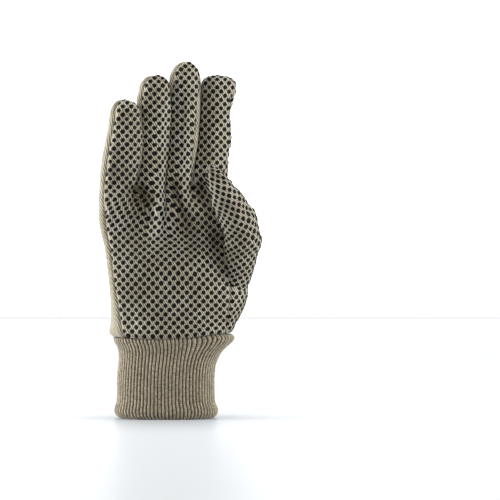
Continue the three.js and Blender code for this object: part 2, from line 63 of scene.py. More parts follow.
# Driving sizes, the same as the part's
CUFF_HEIGHT = 59.0
CUFF_WIDTH = 72.0
CUFF_DEPTH = 50.0
RIB_COUNT = 76
KNIT_THICKNESS = 1.5
HAND_HEIGHT = 109.0
PALM_WIDTH = 100.0
PALM_DEPTH = 42.0
CLOTH_THICKNESS = 1.3
FINGER_WIDTH = 22.0
FINGER_DEPTH = 20.0
THUMB_RISE = 92.0
THUMB_WIDTH = 24.4
THUMB_DEPTH = 24.0
SEAM_GAP = 0.3
FOLD_DEPTH = 2.4
FOLD_WIDTH = 5.0
# How far the hand is turned and its top slopes, how square its sections are, its back seam in degrees, and the
# shares at which roots, lobes and folds set in or fade out: all as in the part too
TURN = 0.14
CROTCH_SLOPE = 0.1
HAND_POWER = 2.3
FINGER_POWER = 2.05
BACK_SEAM_ANGLE = 20.0
ROOT_FORWARD = 0.45
TIE_FADE = 0.2
ROOT_FADE = 0.4
TURN_FULL = 0.35
LOBES_START = 0.5
LOBES_EASE = 1.5
FOLD_FADE = 0.6
THUMB_BASE = 0.296

# How fine the meshes are: columns on a finger's face and side, the step upwards in mm, the rows of a round tip,
# the columns round the thumb and on each rib, and the cuff's rows
FACE_COLUMNS = 22
SIDE_COLUMNS = 10
ROW_STEP = 1.15
CAP_ROWS = 14
THUMB_COLUMNS = 76
COLUMNS_PER_RIB = 8
CUFF_ROWS = 52

# The four corners of every quad of a grid, in turn
CORNERS = ((slice(None, -1), slice(None, -1)), (slice(None, -1), slice(1, None)),
           (slice(1, None), slice(1, None)), (slice(1, None), slice(None, -1)))
# A place on the skin, the direction out of it there, and the nearest skin point's number
Found = tuple[np.ndarray, np.ndarray, int]


class Side(Enum):
    """The four sides of a finger, in order around it."""

    FRONT = "front"
    RIGHT = "right"
    BACK = "back"
    LEFT = "left"


class Table:
    """Rows of named numbers at shares of a length, with a smooth line through each column."""

    def __init__(self, *rows: dict[str, float]) -> None:
        """Keeps the rows, which are in order of their up."""
        self.rows = rows
        self.knots = np.array([row["up"] for row in rows])

    def at(self, name: str, up: np.ndarray) -> np.ndarray:
        """The column's value at each share of the way up.

        Args:
            name: The column.
            up: Shares of the length.

        Returns:
            One value for each share, never beyond the two rows around it.
        """
        values = np.array([row[name] for row in self.rows])
        steps = np.diff(self.knots)
        slopes = np.diff(values) / steps
        tangents = np.concatenate([slopes[:1], slopes])
        before, after = slopes[:-1], slopes[1:]
        same_way = before * after > 0
        safe = np.where(same_way, before * after, 1.0)
        weigh_before, weigh_after = 2 * steps[1:] + steps[:-1], steps[1:] + 2 * steps[:-1]
        mean = 3 * (steps[1:] + steps[:-1]) * safe / (weigh_before * after + weigh_after * before + ~same_way)
        tangents[1:-1] = np.where(same_way, mean, 0.0)
        low = np.clip(np.searchsorted(self.knots, up, side="right") - 1, 0, len(steps) - 1)
        share = np.clip((up - self.knots[low]) / steps[low], 0, 1)
        rise = share * share * (3 - 2 * share)
        bow_low = share * (1 - share) ** 2 * steps[low] * tangents[low]
        bow_high = share * share * (1 - share) * steps[low] * tangents[low + 1]
        return values[low] * (1 - rise) + values[low + 1] * rise + bow_low - bow_high


# left, right, flare: shares of the cuff's width. deep: share of its depth.
CUFF_SECTIONS = Table(
    {"up": 0, "left": -0.475, "right": 0.49, "deep": 0.97, "flare": 0},
    {"up": 0.04, "left": -0.515, "right": 0.512, "deep": 1.01, "flare": 0},
    {"up": 0.1, "left": -0.528, "right": 0.522, "deep": 1.03, "flare": 0},
    {"up": 0.22, "left": -0.507, "right": 0.492, "deep": 1, "flare": 0},
    {"up": 0.45, "left": -0.501, "right": 0.488, "deep": 0.98, "flare": 0},
    {"up": 0.62, "left": -0.492, "right": 0.494, "deep": 0.96, "flare": 0.003},
    {"up": 0.78, "left": -0.484, "right": 0.516, "deep": 0.93, "flare": 0.036},
    {"up": 0.84, "left": -0.487, "right": 0.53, "deep": 0.93, "flare": 0.072},
    {"up": 0.89, "left": -0.5, "right": 0.545, "deep": 0.93, "flare": 0.112},
    {"up": 0.94, "left": -0.525, "right": 0.562, "deep": 0.94, "flare": 0.128},
    {"up": 0.98, "left": -0.545, "right": 0.572, "deep": 0.95, "flare": 0.118},
    {"up": 1, "left": -0.555, "right": 0.575, "deep": 0.95, "flare": 0.1},
)

# left, right, deep: shares of the palm's width and depth. Seams: the palm's two seams in degrees.
HAND_SECTIONS = Table(
    {"up": 0, "left": -0.395, "right": 0.466, "deep": 1.13, "left_seam": 43, "right_seam": 25},
    {"up": 0.04, "left": -0.408, "right": 0.486, "deep": 1.12, "left_seam": 40, "right_seam": 29},
    {"up": 0.12, "left": -0.402, "right": 0.532, "deep": 1.08, "left_seam": 33, "right_seam": 37},
    {"up": 0.24, "left": -0.404, "right": 0.584, "deep": 1.04, "left_seam": 28, "right_seam": 44},
    {"up": 0.3, "left": -0.413, "right": 0.6, "deep": 1.02, "left_seam": 27, "right_seam": 45},
    {"up": 0.44, "left": -0.428, "right": 0.595, "deep": 1, "left_seam": 25, "right_seam": 43},
    {"up": 0.58, "left": -0.447, "right": 0.566, "deep": 0.95, "left_seam": 26, "right_seam": 38},
    {"up": 0.71, "left": -0.473, "right": 0.522, "deep": 0.86, "left_seam": 31, "right_seam": 34},
    {"up": 0.85, "left": -0.491, "right": 0.471, "deep": 0.74, "left_seam": 41, "right_seam": 32},
    {"up": 1, "left": -0.49, "right": 0.442, "deep": 0.62, "left_seam": 44, "right_seam": 30},
)
# Shares of the way over the hand's front and back at which the fingers' cloth begins and ends
FRONT_BORDERS = (0, 0.27, 0.49, 0.71, 1)
BACK_BORDERS = (0, 0.18, 0.36, 0.7, 1)

# Folds. From and to: x as a share of the palm's width, z as a share of the hand's height.
# rise: share of the fold's depth, below nought for a valley. wide: share of the fold's width.
PALM_FOLDS = (
    {"from_x": -0.21, "to_x": -0.09, "from_up": 1.02, "to_up": 0.76, "rise": -1.1, "wide": 1},
    {"from_x": -0.03, "to_x": -0.05, "from_up": 0.95, "to_up": 0.72, "rise": 0.7, "wide": 0.8},
    {"from_x": 0.01, "to_x": 0.19, "from_up": 1.02, "to_up": 0.74, "rise": -1.1, "wide": 1},
    {"from_x": 0.14, "to_x": 0.17, "from_up": 0.92, "to_up": 0.66, "rise": 0.6, "wide": 0.9},
    {"from_x": 0.25, "to_x": 0.43, "from_up": 0.96, "to_up": 0.48, "rise": -1.2, "wide": 1.3},
)
BACK_FOLDS = (
    {"from_x": 0.19, "to_x": 0.12, "from_up": 1.02, "to_up": 0.35, "rise": -0.8, "wide": 1.1},
    {"from_x": -0.02, "to_x": -0.06, "from_up": 1, "to_up": 0.3, "rise": -0.7, "wide": 1.1},
    {"from_x": -0.22, "to_x": -0.26, "from_up": 1.02, "to_up": 0.5, "rise": -0.9, "wide": 1},
)
# Creases of the same kind, which only the cloth's look needs
PALM_CREASES = (
    {"from_x": -0.185, "to_x": -0.1, "from_up": 1.0, "to_up": 0.8, "rise": -2.5, "wide": 1.05},
    {"from_x": 0.01, "to_x": -0.05, "from_up": 1.02, "to_up": 0.87, "rise": 0.9, "wide": 0.8},
    {"from_x": -0.055, "to_x": -0.055, "from_up": 0.87, "to_up": 0.62, "rise": 1.8, "wide": 0.85},
    {"from_x": 0.045, "to_x": 0.16, "from_up": 1.0, "to_up": 0.76, "rise": -2.4, "wide": 1.0},
    {"from_x": 0.13, "to_x": 0.155, "from_up": 0.97, "to_up": 0.76, "rise": 1.2, "wide": 0.55},
    {"from_x": 0.15, "to_x": 0.22, "from_up": 0.8, "to_up": 0.6, "rise": -0.8, "wide": 1.0},
    {"from_x": 0.24, "to_x": 0.37, "from_up": 0.98, "to_up": 0.6, "rise": -2.0, "wide": 1.1},
    {"from_x": 0.37, "to_x": 0.44, "from_up": 0.62, "to_up": 0.34, "rise": -1.2, "wide": 1.0},
    {"from_x": 0.02, "to_x": 0.13, "from_up": 0.74, "to_up": 0.54, "rise": 0.6, "wide": 0.5},
    {"from_x": -0.36, "to_x": -0.3, "from_up": 0.98, "to_up": 0.7, "rise": 0.5, "wide": 0.9},
    {"from_x": 0.31, "to_x": 0.26, "from_up": 0.99, "to_up": 0.8, "rise": 0.6, "wide": 0.6},
    {"from_x": -0.34, "to_x": -0.12, "from_up": 0.62, "to_up": 0.5, "rise": -0.35, "wide": 1.0},
    {"from_x": -0.3, "to_x": 0.05, "from_up": 0.2, "to_up": 0.12, "rise": -0.3, "wide": 0.9},
    {"from_x": 0.12, "to_x": 0.34, "from_up": 0.14, "to_up": 0.22, "rise": -0.3, "wide": 0.8},
)
BACK_CREASES = (
    {"from_x": 0.3, "to_x": 0.22, "from_up": 0.98, "to_up": 0.6, "rise": 0.3, "wide": 0.6},
    {"from_x": 0.06, "to_x": 0.03, "from_up": 0.98, "to_up": 0.5, "rise": 0.35, "wide": 0.7},
    {"from_x": -0.12, "to_x": -0.15, "from_up": 0.96, "to_up": 0.45, "rise": 0.3, "wide": 0.6},
    {"from_x": -0.34, "to_x": -0.3, "from_up": 0.95, "to_up": 0.4, "rise": 0.25, "wide": 0.8},
    {"from_x": -0.2, "to_x": 0.18, "from_up": 0.2, "to_up": 0.14, "rise": -0.3, "wide": 0.9},
)

# Gathers that run up the palm and the fingers. low, high: their ends' heights in mm, low_x and high_x their
# places across. wide: mm. draw: mm of cloth drawn in from both sides. rise: how far it stands out.
GATHERS = (
    {"low": 140, "high": 172, "low_x": -4.5, "high_x": -3, "wide": 6, "draw": 4.2, "rise": 0},
    {"low": 172, "high": 218, "low_x": -3, "high_x": -2, "wide": 3.4, "draw": 2.0, "rise": 0.4},
    {"low": 182, "high": 230, "low_x": 12.5, "high_x": 15.5, "wide": 3.2, "draw": 2.2, "rise": 0.45},
    {"low": 129, "high": 149, "low_x": 10, "high_x": 1.5, "wide": 4.2, "draw": 2.4, "rise": 1.0},
    {"low": 135, "high": 152, "low_x": -10, "high_x": -11, "wide": 3, "draw": 1.6, "rise": 1.0},
    {"low": 176, "high": 186, "low_x": 44, "high_x": 43.5, "wide": 3, "draw": 1.5, "rise": 0.3},
)
# How far beyond its ends a gather still draws the cloth and still stands out, and the share of its width that does
DRAW_FADE = 9.0
RIDGE_FADE = 6.0
RIDGE_WIDE = 0.45
# The band across the palm where folds draw the cloth up: its middle, half height and place across, how far the
# cloth is drawn and how wide the band is, in mm
PALM_BAND = {"height": 126, "tall": 17, "draw": 6.5, "x": 6, "wide": 24}


@dataclass(frozen=True)
class FingerSpec:
    """One finger's sizes: its length in mm, its seams' angles in degrees, and its sections.

    forward is how far it stands out as a share of its depth, tip the place of its tip as a share of the palm's
    width, and square how square the tip is.
    """

    name: str
    length: float
    seams: Table
    forward: float
    tip: float
    square: float
    sections: Table


FINGERS = (
    FingerSpec("little", 63.4, Table(
        {"up": 0, "left": 44, "right": 26},
        {"up": 0.4, "left": 47, "right": 16},
        {"up": 1, "left": 48, "right": 10},
    ), -0.42, -0.3, 2, Table(
        {"up": 0, "middle": -0.3515, "wide": 1.26, "deep": 1.2},
        {"up": 0.27, "middle": -0.33, "wide": 1.3, "deep": 1.06},
        {"up": 0.505, "middle": -0.31, "wide": 1.25, "deep": 1},
        {"up": 0.694, "middle": -0.297, "wide": 1.15, "deep": 0.95},
        {"up": 0.82, "middle": -0.293, "wide": 1.04, "deep": 0.9},
    )),
    FingerSpec("ring", 82.0, Table(
        {"up": 0, "left": 26, "right": 26},
        {"up": 0.3, "left": 8, "right": 4},
        {"up": 0.55, "left": 22, "right": 4},
        {"up": 0.75, "left": 46, "right": 6},
        {"up": 1, "left": 50, "right": 10},
    ), -0.09, -0.078, 2, Table(
        {"up": 0, "middle": -0.11, "wide": 0.936, "deep": 1.2},
        {"up": 0.207, "middle": -0.095, "wide": 0.96, "deep": 1.04},
        {"up": 0.39, "middle": -0.084, "wide": 1.02, "deep": 0.98},
        {"up": 0.634, "middle": -0.081, "wide": 1.09, "deep": 0.96},
        {"up": 0.78, "middle": -0.091, "wide": 1.15, "deep": 0.94},
        {"up": 0.866, "middle": -0.087, "wide": 1.05, "deep": 0.92},
    )),
    FingerSpec("middle", 92.6, Table(
        {"up": 0, "left": 26, "right": 30},
        {"up": 0.3, "left": 4, "right": 38},
        {"up": 0.65, "left": 10, "right": 34},
        {"up": 0.82, "left": 40, "right": 12},
        {"up": 1, "left": 44, "right": 6},
    ), 0.08, 0.15, 1.75, Table(
        {"up": 0, "middle": 0.0915, "wide": 0.895, "deep": 1.2},
        {"up": 0.184, "middle": 0.105, "wide": 0.94, "deep": 1.04},
        {"up": 0.4, "middle": 0.127, "wide": 1.0, "deep": 0.98},
        {"up": 0.615, "middle": 0.136, "wide": 1.0, "deep": 0.96},
        {"up": 0.778, "middle": 0.135, "wide": 1.04, "deep": 0.94},
        {"up": 0.864, "middle": 0.135, "wide": 1.01, "deep": 0.92},
    )),
    FingerSpec("index", 82.5, Table(
        {"up": 0, "left": 30, "right": 30},
        {"up": 0.3, "left": 14, "right": 18},
        {"up": 1, "left": 18, "right": 16},
    ), 0.27, 0.368, 3.2, Table(
        {"up": 0, "middle": 0.315, "wide": 1.136, "deep": 1.2},
        {"up": 0.206, "middle": 0.325, "wide": 1.09, "deep": 1.06},
        {"up": 0.448, "middle": 0.348, "wide": 1.08, "deep": 1},
        {"up": 0.69, "middle": 0.353, "wide": 0.98, "deep": 0.98},
        {"up": 0.848, "middle": 0.372, "wide": 1.1, "deep": 0.94},
    )),
)
LAST = len(FINGERS) - 1

THUMB_SECTIONS = Table(
    {"up": 0, "middle": 0.49, "forward": 0.06, "wide": 0.66, "deep": 0.6},
    {"up": 0.12, "middle": 0.522, "forward": 0.03, "wide": 0.79, "deep": 0.9},
    {"up": 0.26, "middle": 0.541, "forward": -0.06, "wide": 0.9, "deep": 1.08},
    {"up": 0.42, "middle": 0.548, "forward": -0.22, "wide": 1.16, "deep": 1.14},
    {"up": 0.57, "middle": 0.522, "forward": -0.39, "wide": 1.15, "deep": 1.08},
    {"up": 0.7, "middle": 0.47, "forward": -0.53, "wide": 1.07, "deep": 0.98},
    {"up": 0.82, "middle": 0.414, "forward": -0.64, "wide": 0.9, "deep": 0.82},
    {"up": 0.92, "middle": 0.366, "forward": -0.71, "wide": 0.62, "deep": 0.6},
)
THUMB_TIP = {"middle": 0.337, "forward": -0.75, "square": 1.8}


def eased(value: np.ndarray, low: float, high: float) -> np.ndarray:
    """A share that rises smoothly from 0 at low to 1 at high."""
    share = np.clip((value - low) / (high - low), 0, 1)
    return share * share * (3 - 2 * share)


def hill(distance: np.ndarray, wide: float) -> np.ndarray:
    """A rounded hill of height 1 over a distance."""
    return np.exp(-((distance / wide) ** 2))


class SmoothNoise:
    """Seeded noise that changes smoothly from place to place, from -1 to 1."""

    CELLS = 48
    # Keeps the glove's middle away from the table's corner
    SHIFT = 17.3

    def __init__(self, seed: int) -> None:
        """Fills the noise's table from the seed."""
        self.values = np.random.default_rng(seed).uniform(-1, 1, (self.CELLS,) * 3)

    def at(self, points: np.ndarray, size: float | tuple[float, float, float]) -> np.ndarray:
        """The noise at points.

        Args:
            points: Places in mm, shape (..., 3).
            size: The size of its bumps in mm, one number or one along each axis.

        Returns:
            One value for each point.
        """
        place = points / np.asarray(size) + self.SHIFT
        base = np.floor(place).astype(int)
        # Rises from 0 to 1 with neither a slope nor a bend at its ends.
        t = place - base
        t = t * t * t * (t * (6 * t - 15) + 10)
        total = np.zeros(points.shape[:-1])
        for i in (0, 1):
            for j in (0, 1):
                for k in (0, 1):
                    weight = np.abs(1 - i - t[..., 0]) * np.abs(1 - j - t[..., 1]) * np.abs(1 - k - t[..., 2])
                    x, y, z = ((base[..., a] + d) % self.CELLS for a, d in enumerate((i, j, k)))
                    total += weight * self.values[x, y, z]
        return total


NOISE = SmoothNoise(7)


def section_points(middle: tuple, half_width: np.ndarray, half_depth: np.ndarray, angle: np.ndarray,
                   power: float) -> np.ndarray:
    """Points of rounded sections, turned as the hand is.

    Args:
        middle: x, y and z of the sections' middles.
        half_width: Half their widths.
        half_depth: Half their depths.
        angle: 0 towards +X, a quarter turn towards +Y.
        power: How square they are; 2 is an ellipse.

    Returns:
        Points, shape (rows, columns, 3).
    """
    across = np.sign(np.cos(angle)) * np.abs(np.cos(angle)) ** (2 / power)
    along = np.sign(np.sin(angle)) * np.abs(np.sin(angle)) ** (2 / power)
    x = middle[0] + half_width * across
    y = middle[1] + half_depth * along + TURN * x
    return np.stack([x, y, middle[2] + 0 * x], axis=-1)


def column_angle(side: Side, across: np.ndarray, left_seam: np.ndarray, right_seam: np.ndarray) -> np.ndarray:
    """Angles of grid columns, for each row's seams.

    Args:
        side: The side that the columns are on.
        across: Shares of the way over it, shape (columns,).
        left_seam: Degrees, shape (rows,).
        right_seam: Degrees, shape (rows,).

    Returns:
        Radians, shape (rows, columns).
    """
    left, right = np.radians(left_seam)[:, None], np.radians(right_seam)[:, None]
    back = math.radians(BACK_SEAM_ANGLE) + 0 * left
    low, high = {
        Side.FRONT: (np.pi + left, 2 * np.pi - right),
        Side.RIGHT: (-right, back),
        Side.BACK: (back, np.pi - back),
        Side.LEFT: (np.pi - back, np.pi + left),
    }[side]
    return low + (high - low) * across[None, :]


def fold_rise(folds: tuple[dict[str, float], ...], x: np.ndarray, up: np.ndarray) -> np.ndarray:
    """How far folds lift the cloth, in mm.

    Args:
        folds: Rows of a fold table.
        x: Places across in mm.
        up: Shares of the hand's height.

    Returns:
        The lift at each place, below nought in a valley.
    """
    rise = np.zeros(np.broadcast(x, up).shape)
    for fold in folds:
        start = np.array([fold["from_x"] * PALM_WIDTH, fold["from_up"] * HAND_HEIGHT])
        run = np.array([fold["to_x"] * PALM_WIDTH, fold["to_up"] * HAND_HEIGHT]) - start
        place_x, place_z = x - start[0], up * HAND_HEIGHT - start[1]
        share = np.clip((place_x * run[0] + place_z * run[1]) / (run @ run), 0, 1)
        away = np.hypot(place_x - share * run[0], place_z - share * run[1])
        rise += fold["rise"] * FOLD_DEPTH * hill(away, fold["wide"] * FOLD_WIDTH) * (1 - FOLD_FADE * share)
    return rise


class GloveForm:
    """The glove's outer form, as smooth functions of the part's tables."""

    # The share of a finger's face at each side that its neighbour pulls on
    TIED_SHARE = 0.35
    # The cosines between which the cuff's flare grows towards the thumb's side
    FLARE_FROM, FLARE_FULL = 0.2, 1.0

    def hand(self, up: np.ndarray, side: Side, finger: int, across: np.ndarray) -> np.ndarray:
        """The hand's section without fingers, at shares of its height.

        Args:
            up: Shares of the hand's height, shape (rows,).
            side: The side that the columns belong to.
            finger: The finger that they lead to.
            across: Shares of the way over that side.

        Returns:
            Points, shape (rows, columns, 3).
        """
        left = HAND_SECTIONS.at("left", up) * PALM_WIDTH
        right = HAND_SECTIONS.at("right", up) * PALM_WIDTH
        deep = HAND_SECTIONS.at("deep", up) * PALM_DEPTH
        place = self._hand_across(side, finger, across)
        angle = column_angle(side, place, HAND_SECTIONS.at("left_seam", up), HAND_SECTIONS.at("right_seam", up))
        height = CUFF_HEIGHT + SEAM_GAP / 2 + up * HAND_HEIGHT
        middle = ((left + right)[:, None] / 2, 0.0, height[:, None])
        points = section_points(middle, (right - left)[:, None] / 2, deep[:, None] / 2, angle, HAND_POWER)
        rows = up[:, None] + 0 * points[..., 0]
        points[..., 1] -= TURN * (1 - eased(rows, 0, TURN_FULL)) * points[..., 0]
        points[..., 2] += CROTCH_SLOPE * points[..., 0] * eased(rows, TURN_FULL, 1)
        facing = np.sin(angle)
        palm, back = (fold_rise(folds, points[..., 0], rows) for folds in (PALM_FOLDS, BACK_FOLDS))
        points[..., 1] += facing * np.where(facing < 0, palm, back)
        return points

    def _hand_across(self, side: Side, finger: int, across: np.ndarray) -> np.ndarray:
        """Shares of the way over the hand's side at which a finger's columns lie.

        Args:
            side: The side.
            finger: The finger.
            across: Shares of the way over the finger's part of it.

        Returns:
            The shares of the way over the whole side.
        """
        if side is Side.FRONT:
            low, high = FRONT_BORDERS[finger], FRONT_BORDERS[finger + 1]
        elif side is Side.BACK:
            low, high = 1 - BACK_BORDERS[finger + 1], 1 - BACK_BORDERS[finger]
        else:
            low, high = 0, 1
        return low + (high - low) * across

    def free_finger(self, finger: int, up: np.ndarray, side: Side, across: np.ndarray) -> np.ndarray:
        """A finger's sections without what ties it to its neighbours.

        Args:
            finger: Its number from the little finger.
            up: Shares of its length, shape (rows,).
            side: The side that the columns are on.
            across: Shares of the way over that side.

        Returns:
            Points, shape (rows, columns, 3).
        """
        spec = FINGERS[finger]
        cap_start = spec.sections.knots[-1]
        cap = np.clip((up - cap_start) / (1 - cap_start), 0, 1)
        narrow = np.maximum(1 - cap**spec.square, 0) ** (1 / spec.square)
        shaft = np.minimum(up, cap_start)
        middle = spec.sections.at("middle", shaft)
        x = (middle + (spec.tip - middle) * cap**2) * PALM_WIDTH
        y = spec.forward * FINGER_DEPTH * (ROOT_FORWARD + (1 - ROOT_FORWARD) * eased(up, 0, ROOT_FADE))
        z = CUFF_HEIGHT + SEAM_GAP / 2 + HAND_HEIGHT + up * spec.length
        half_width = spec.sections.at("wide", shaft) * FINGER_WIDTH * narrow / 2
        half_depth = spec.sections.at("deep", shaft) * FINGER_DEPTH * narrow / 2
        angle = column_angle(side, across, spec.seams.at("left", up), spec.seams.at("right", up))
        points = section_points((x[:, None], y[:, None], z[:, None]), half_width[:, None], half_depth[:, None],
                                angle, FINGER_POWER)
        points[..., 2] += CROTCH_SLOPE * points[..., 0] * (1 - up)[:, None]
        return points

    def _root_tie(self, finger: int, side: Side, across: np.ndarray) -> np.ndarray:
        """How far a finger's root moves to share its places with its neighbours.

        Args:
            finger: Its number from the little finger.
            side: The side that the columns are on.
            across: Shares of the way over that side.

        Returns:
            The moves, shape (columns, 3).
        """
        bottom = np.zeros(1)

        def pull(own: tuple[Side, np.ndarray], other: int, theirs: tuple[Side, np.ndarray]) -> np.ndarray:
            """Half the way from the finger's own places to its neighbour's."""
            mine = self.free_finger(finger, bottom, *own)[0]
            return (self.free_finger(other, bottom, *theirs)[0] - mine) / 2

        zero, one = np.zeros(1), np.ones(1)
        has_left, has_right = finger > 0, finger < LAST
        if side is Side.RIGHT and has_right:
            return pull((side, across), finger + 1, (Side.LEFT, 1 - across))
        if side is Side.LEFT and has_left:
            return pull((side, across), finger - 1, (Side.RIGHT, 1 - across))
        tie = np.zeros((len(across), 3))
        at_start, at_end = 1 - eased(across, 0, self.TIED_SHARE), eased(across, 1 - self.TIED_SHARE, 1)
        if side is Side.FRONT and has_left:
            tie += at_start[:, None] * pull((side, zero), finger - 1, (Side.RIGHT, zero))
        if side is Side.FRONT and has_right:
            tie += at_end[:, None] * pull((side, one), finger + 1, (Side.LEFT, one))
        if side is Side.BACK and has_right:
            tie += at_start[:, None] * pull((side, zero), finger + 1, (Side.LEFT, zero))
        if side is Side.BACK and has_left:
            tie += at_end[:, None] * pull((side, one), finger - 1, (Side.RIGHT, one))
        return tie

    def finger(self, finger: int, up: np.ndarray, side: Side, across: np.ndarray) -> np.ndarray:
        """A finger's points, tied to its neighbours at its root, shape (rows, columns, 3)."""
        tied = (1 - eased(up, 0, TIE_FADE))[:, None, None]
        return self.free_finger(finger, up, side, across) + tied * self._root_tie(finger, side, across)[None]

    def hand_with_roots(self, up: np.ndarray, side: Side, finger: int, across: np.ndarray) -> np.ndarray:
        """The hand's points, growing into the fingers' roots at the top.

        Args:
            up: Shares of the hand's height.
            side: The side that the columns are on.
            finger: The finger that they lead to.
            across: Shares of the way over that side.

        Returns:
            Points, shape (rows, columns, 3).
        """
        root = self.finger(finger, np.zeros(1), side, across)[0]
        lobes = root - self.hand(np.ones(1), side, finger, across)[0]
        grown = eased(up, LOBES_START, 1)[:, None, None] ** LOBES_EASE
        return self.hand(up, side, finger, across) + grown * lobes[None]

    def thumb(self, up: np.ndarray, angle: np.ndarray) -> np.ndarray:
        """The thumb's points.

        Args:
            up: Shares of its rise.
            angle: Angles around it.

        Returns:
            Points, shape (rows, columns, 3).
        """
        cap_start = THUMB_SECTIONS.knots[-1]
        cap = np.clip((up - cap_start) / (1 - cap_start), 0, 1)
        square = THUMB_TIP["square"]
        narrow = np.maximum(1 - cap**square, 0) ** (1 / square)
        shaft = np.minimum(up, cap_start)
        x = THUMB_SECTIONS.at("middle", shaft)
        y = THUMB_SECTIONS.at("forward", shaft)
        x = (x + (THUMB_TIP["middle"] - x) * cap) * PALM_WIDTH
        y = (y + (THUMB_TIP["forward"] - y) * cap) * PALM_DEPTH
        z = CUFF_HEIGHT + THUMB_BASE * HAND_HEIGHT + up * THUMB_RISE
        half_width = THUMB_SECTIONS.at("wide", shaft) * THUMB_WIDTH * narrow / 2
        half_depth = THUMB_SECTIONS.at("deep", shaft) * THUMB_DEPTH * narrow / 2
        points = section_points((x[:, None], y[:, None], z[:, None]), half_width[:, None], half_depth[:, None],
                                angle[None, :], FINGER_POWER)
        points[..., 1] -= TURN * x[:, None]
        return points

    def cuff(self, up: np.ndarray, angle: np.ndarray, outwards: np.ndarray) -> np.ndarray:
        """The cuff's points.

        Args:
            up: Shares of its height.
            angle: Angles around it.
            outwards: How far each point is moved out, in mm.

        Returns:
            Points, shape (rows, columns, 3).
        """
        left = CUFF_SECTIONS.at("left", up)[:, None] * CUFF_WIDTH - outwards
        right = CUFF_SECTIONS.at("right", up)[:, None] * CUFF_WIDTH + outwards
        half_depth = CUFF_SECTIONS.at("deep", up)[:, None] * CUFF_DEPTH / 2 + outwards
        z = up[:, None] * (CUFF_HEIGHT - SEAM_GAP / 2)
        points = section_points(((left + right) / 2, 0.0, z), (right - left) / 2, half_depth, angle, HAND_POWER)
        points[..., 1] -= TURN * points[..., 0]
        flare = CUFF_SECTIONS.at("flare", up)[:, None] * CUFF_WIDTH
        points[..., 0] += flare * eased(np.cos(angle), self.FLARE_FROM, self.FLARE_FULL)
        return points


def cap_heights(length: float, cap_start: float, square: float) -> np.ndarray:
    """Shares of a finger's length for its rows: even up to the cap, then following its round.

    Args:
        length: The finger's length in mm.
        cap_start: The share of it at which the round tip begins.
        square: How square the tip is.

    Returns:
        The shares, from 0 to 1.
    """
    shaft_rows = math.ceil(cap_start * length / ROW_STEP)
    shaft = np.arange(shaft_rows) / shaft_rows * cap_start
    turn = np.pi / 2 * np.arange(CAP_ROWS + 1) / CAP_ROWS
    return np.concatenate([shaft, cap_start + (1 - cap_start) * np.sin(turn) ** (2 / square)])


def row_arcs(points: np.ndarray) -> np.ndarray:
    """Distances along each row of a grid from its first column, shape (rows, columns)."""
    steps = np.linalg.norm(np.diff(points, axis=1), axis=-1)
    return np.concatenate([np.zeros((len(points), 1)), np.cumsum(steps, axis=1)], axis=1)


def tube_map(points: np.ndarray, column: int) -> np.ndarray:
    """Where each place of a leaning tube's grid lies in the flat cloth, in mm.

    Args:
        points: The grid's places in level rings, shape (rows, columns, 3).
        column: The column from which the way across is counted.

    Returns:
        Across and along for each place, shape (rows, columns, 2).
    """
    middles = points.mean(axis=1)
    axis = np.gradient(middles, axis=0)
    axis /= np.maximum(np.linalg.norm(axis, axis=-1, keepdims=True), 1e-9)
    around = np.diff(points, axis=1)
    along = np.einsum("rcd,rd->rc", around, axis)
    steps = np.linalg.norm(around - along[..., None] * axis[:, None], axis=-1)
    across = np.concatenate([np.zeros((len(points), 1)), np.cumsum(steps, axis=1)], axis=1)
    across -= across[:, column : column + 1]
    climbs = np.linalg.norm(np.diff(points, axis=0), axis=-1).mean(axis=1)
    height = np.concatenate([[0.0], np.cumsum(climbs)])
    lift = np.einsum("rcd,rd->rc", points - middles[:, None], axis)
    return np.stack([across, height[:, None] + lift], axis=-1)


def cloth_map(points: np.ndarray, column: int, facing: int, start: tuple[float, float] | None = None) -> np.ndarray:
    """Where each place of a grid lies in the flat cloth, in mm. Its threads stay upright.

    Args:
        points: The grid's places, shape (rows, columns, 3).
        column: The column that faces forwards or backwards.
        facing: 1 if the way across follows X, -1 if it runs against it.
        start: That column's lowest place in the cloth, if the grid goes on from another.

    Returns:
        Across and along for each place, shape (rows, columns, 2).
    """
    arcs = row_arcs(points)
    spine = points[:, column]
    level = spine[:, 2] if start else points[..., 2].mean(axis=1)
    depth = np.diff(spine[:, 1]) if start else np.median(np.diff(points[..., 1], axis=0), axis=1)
    along = np.concatenate([[0.0], np.cumsum(np.hypot(np.diff(level), depth))])
    first, base = start or (facing * spine[0, 0], 0.0)
    across = arcs - arcs[:, column : column + 1] + (first + facing * (spine[:, 0] - spine[0, 0]))[:, None]
    return np.stack([across, base + along[:, None] + points[..., 2] - level[:, None]], axis=-1)


@dataclass
class Patch:
    """A grid of cloth with one flat map.

    numbers are vertices of the skin, cloth their places in the cut, and keep says which quads there are.
    """

    panel: str
    numbers: np.ndarray
    cloth: np.ndarray
    keep: np.ndarray | None = None

    def quads(self) -> tuple[np.ndarray, np.ndarray]:
        """Kept quads.

        Returns:
            Vertex numbers, shape (quads, 4), and places in the cut, shape (quads, 4, 2).
        """
        numbers = np.stack([self.numbers[corner] for corner in CORNERS], axis=-1).reshape(-1, 4)
        cloth = np.stack([self.cloth[corner] for corner in CORNERS], axis=-2).reshape(-1, 4, 2)
        if self.keep is None:
            return numbers, cloth
        return numbers[self.keep.ravel()], cloth[self.keep.ravel()]


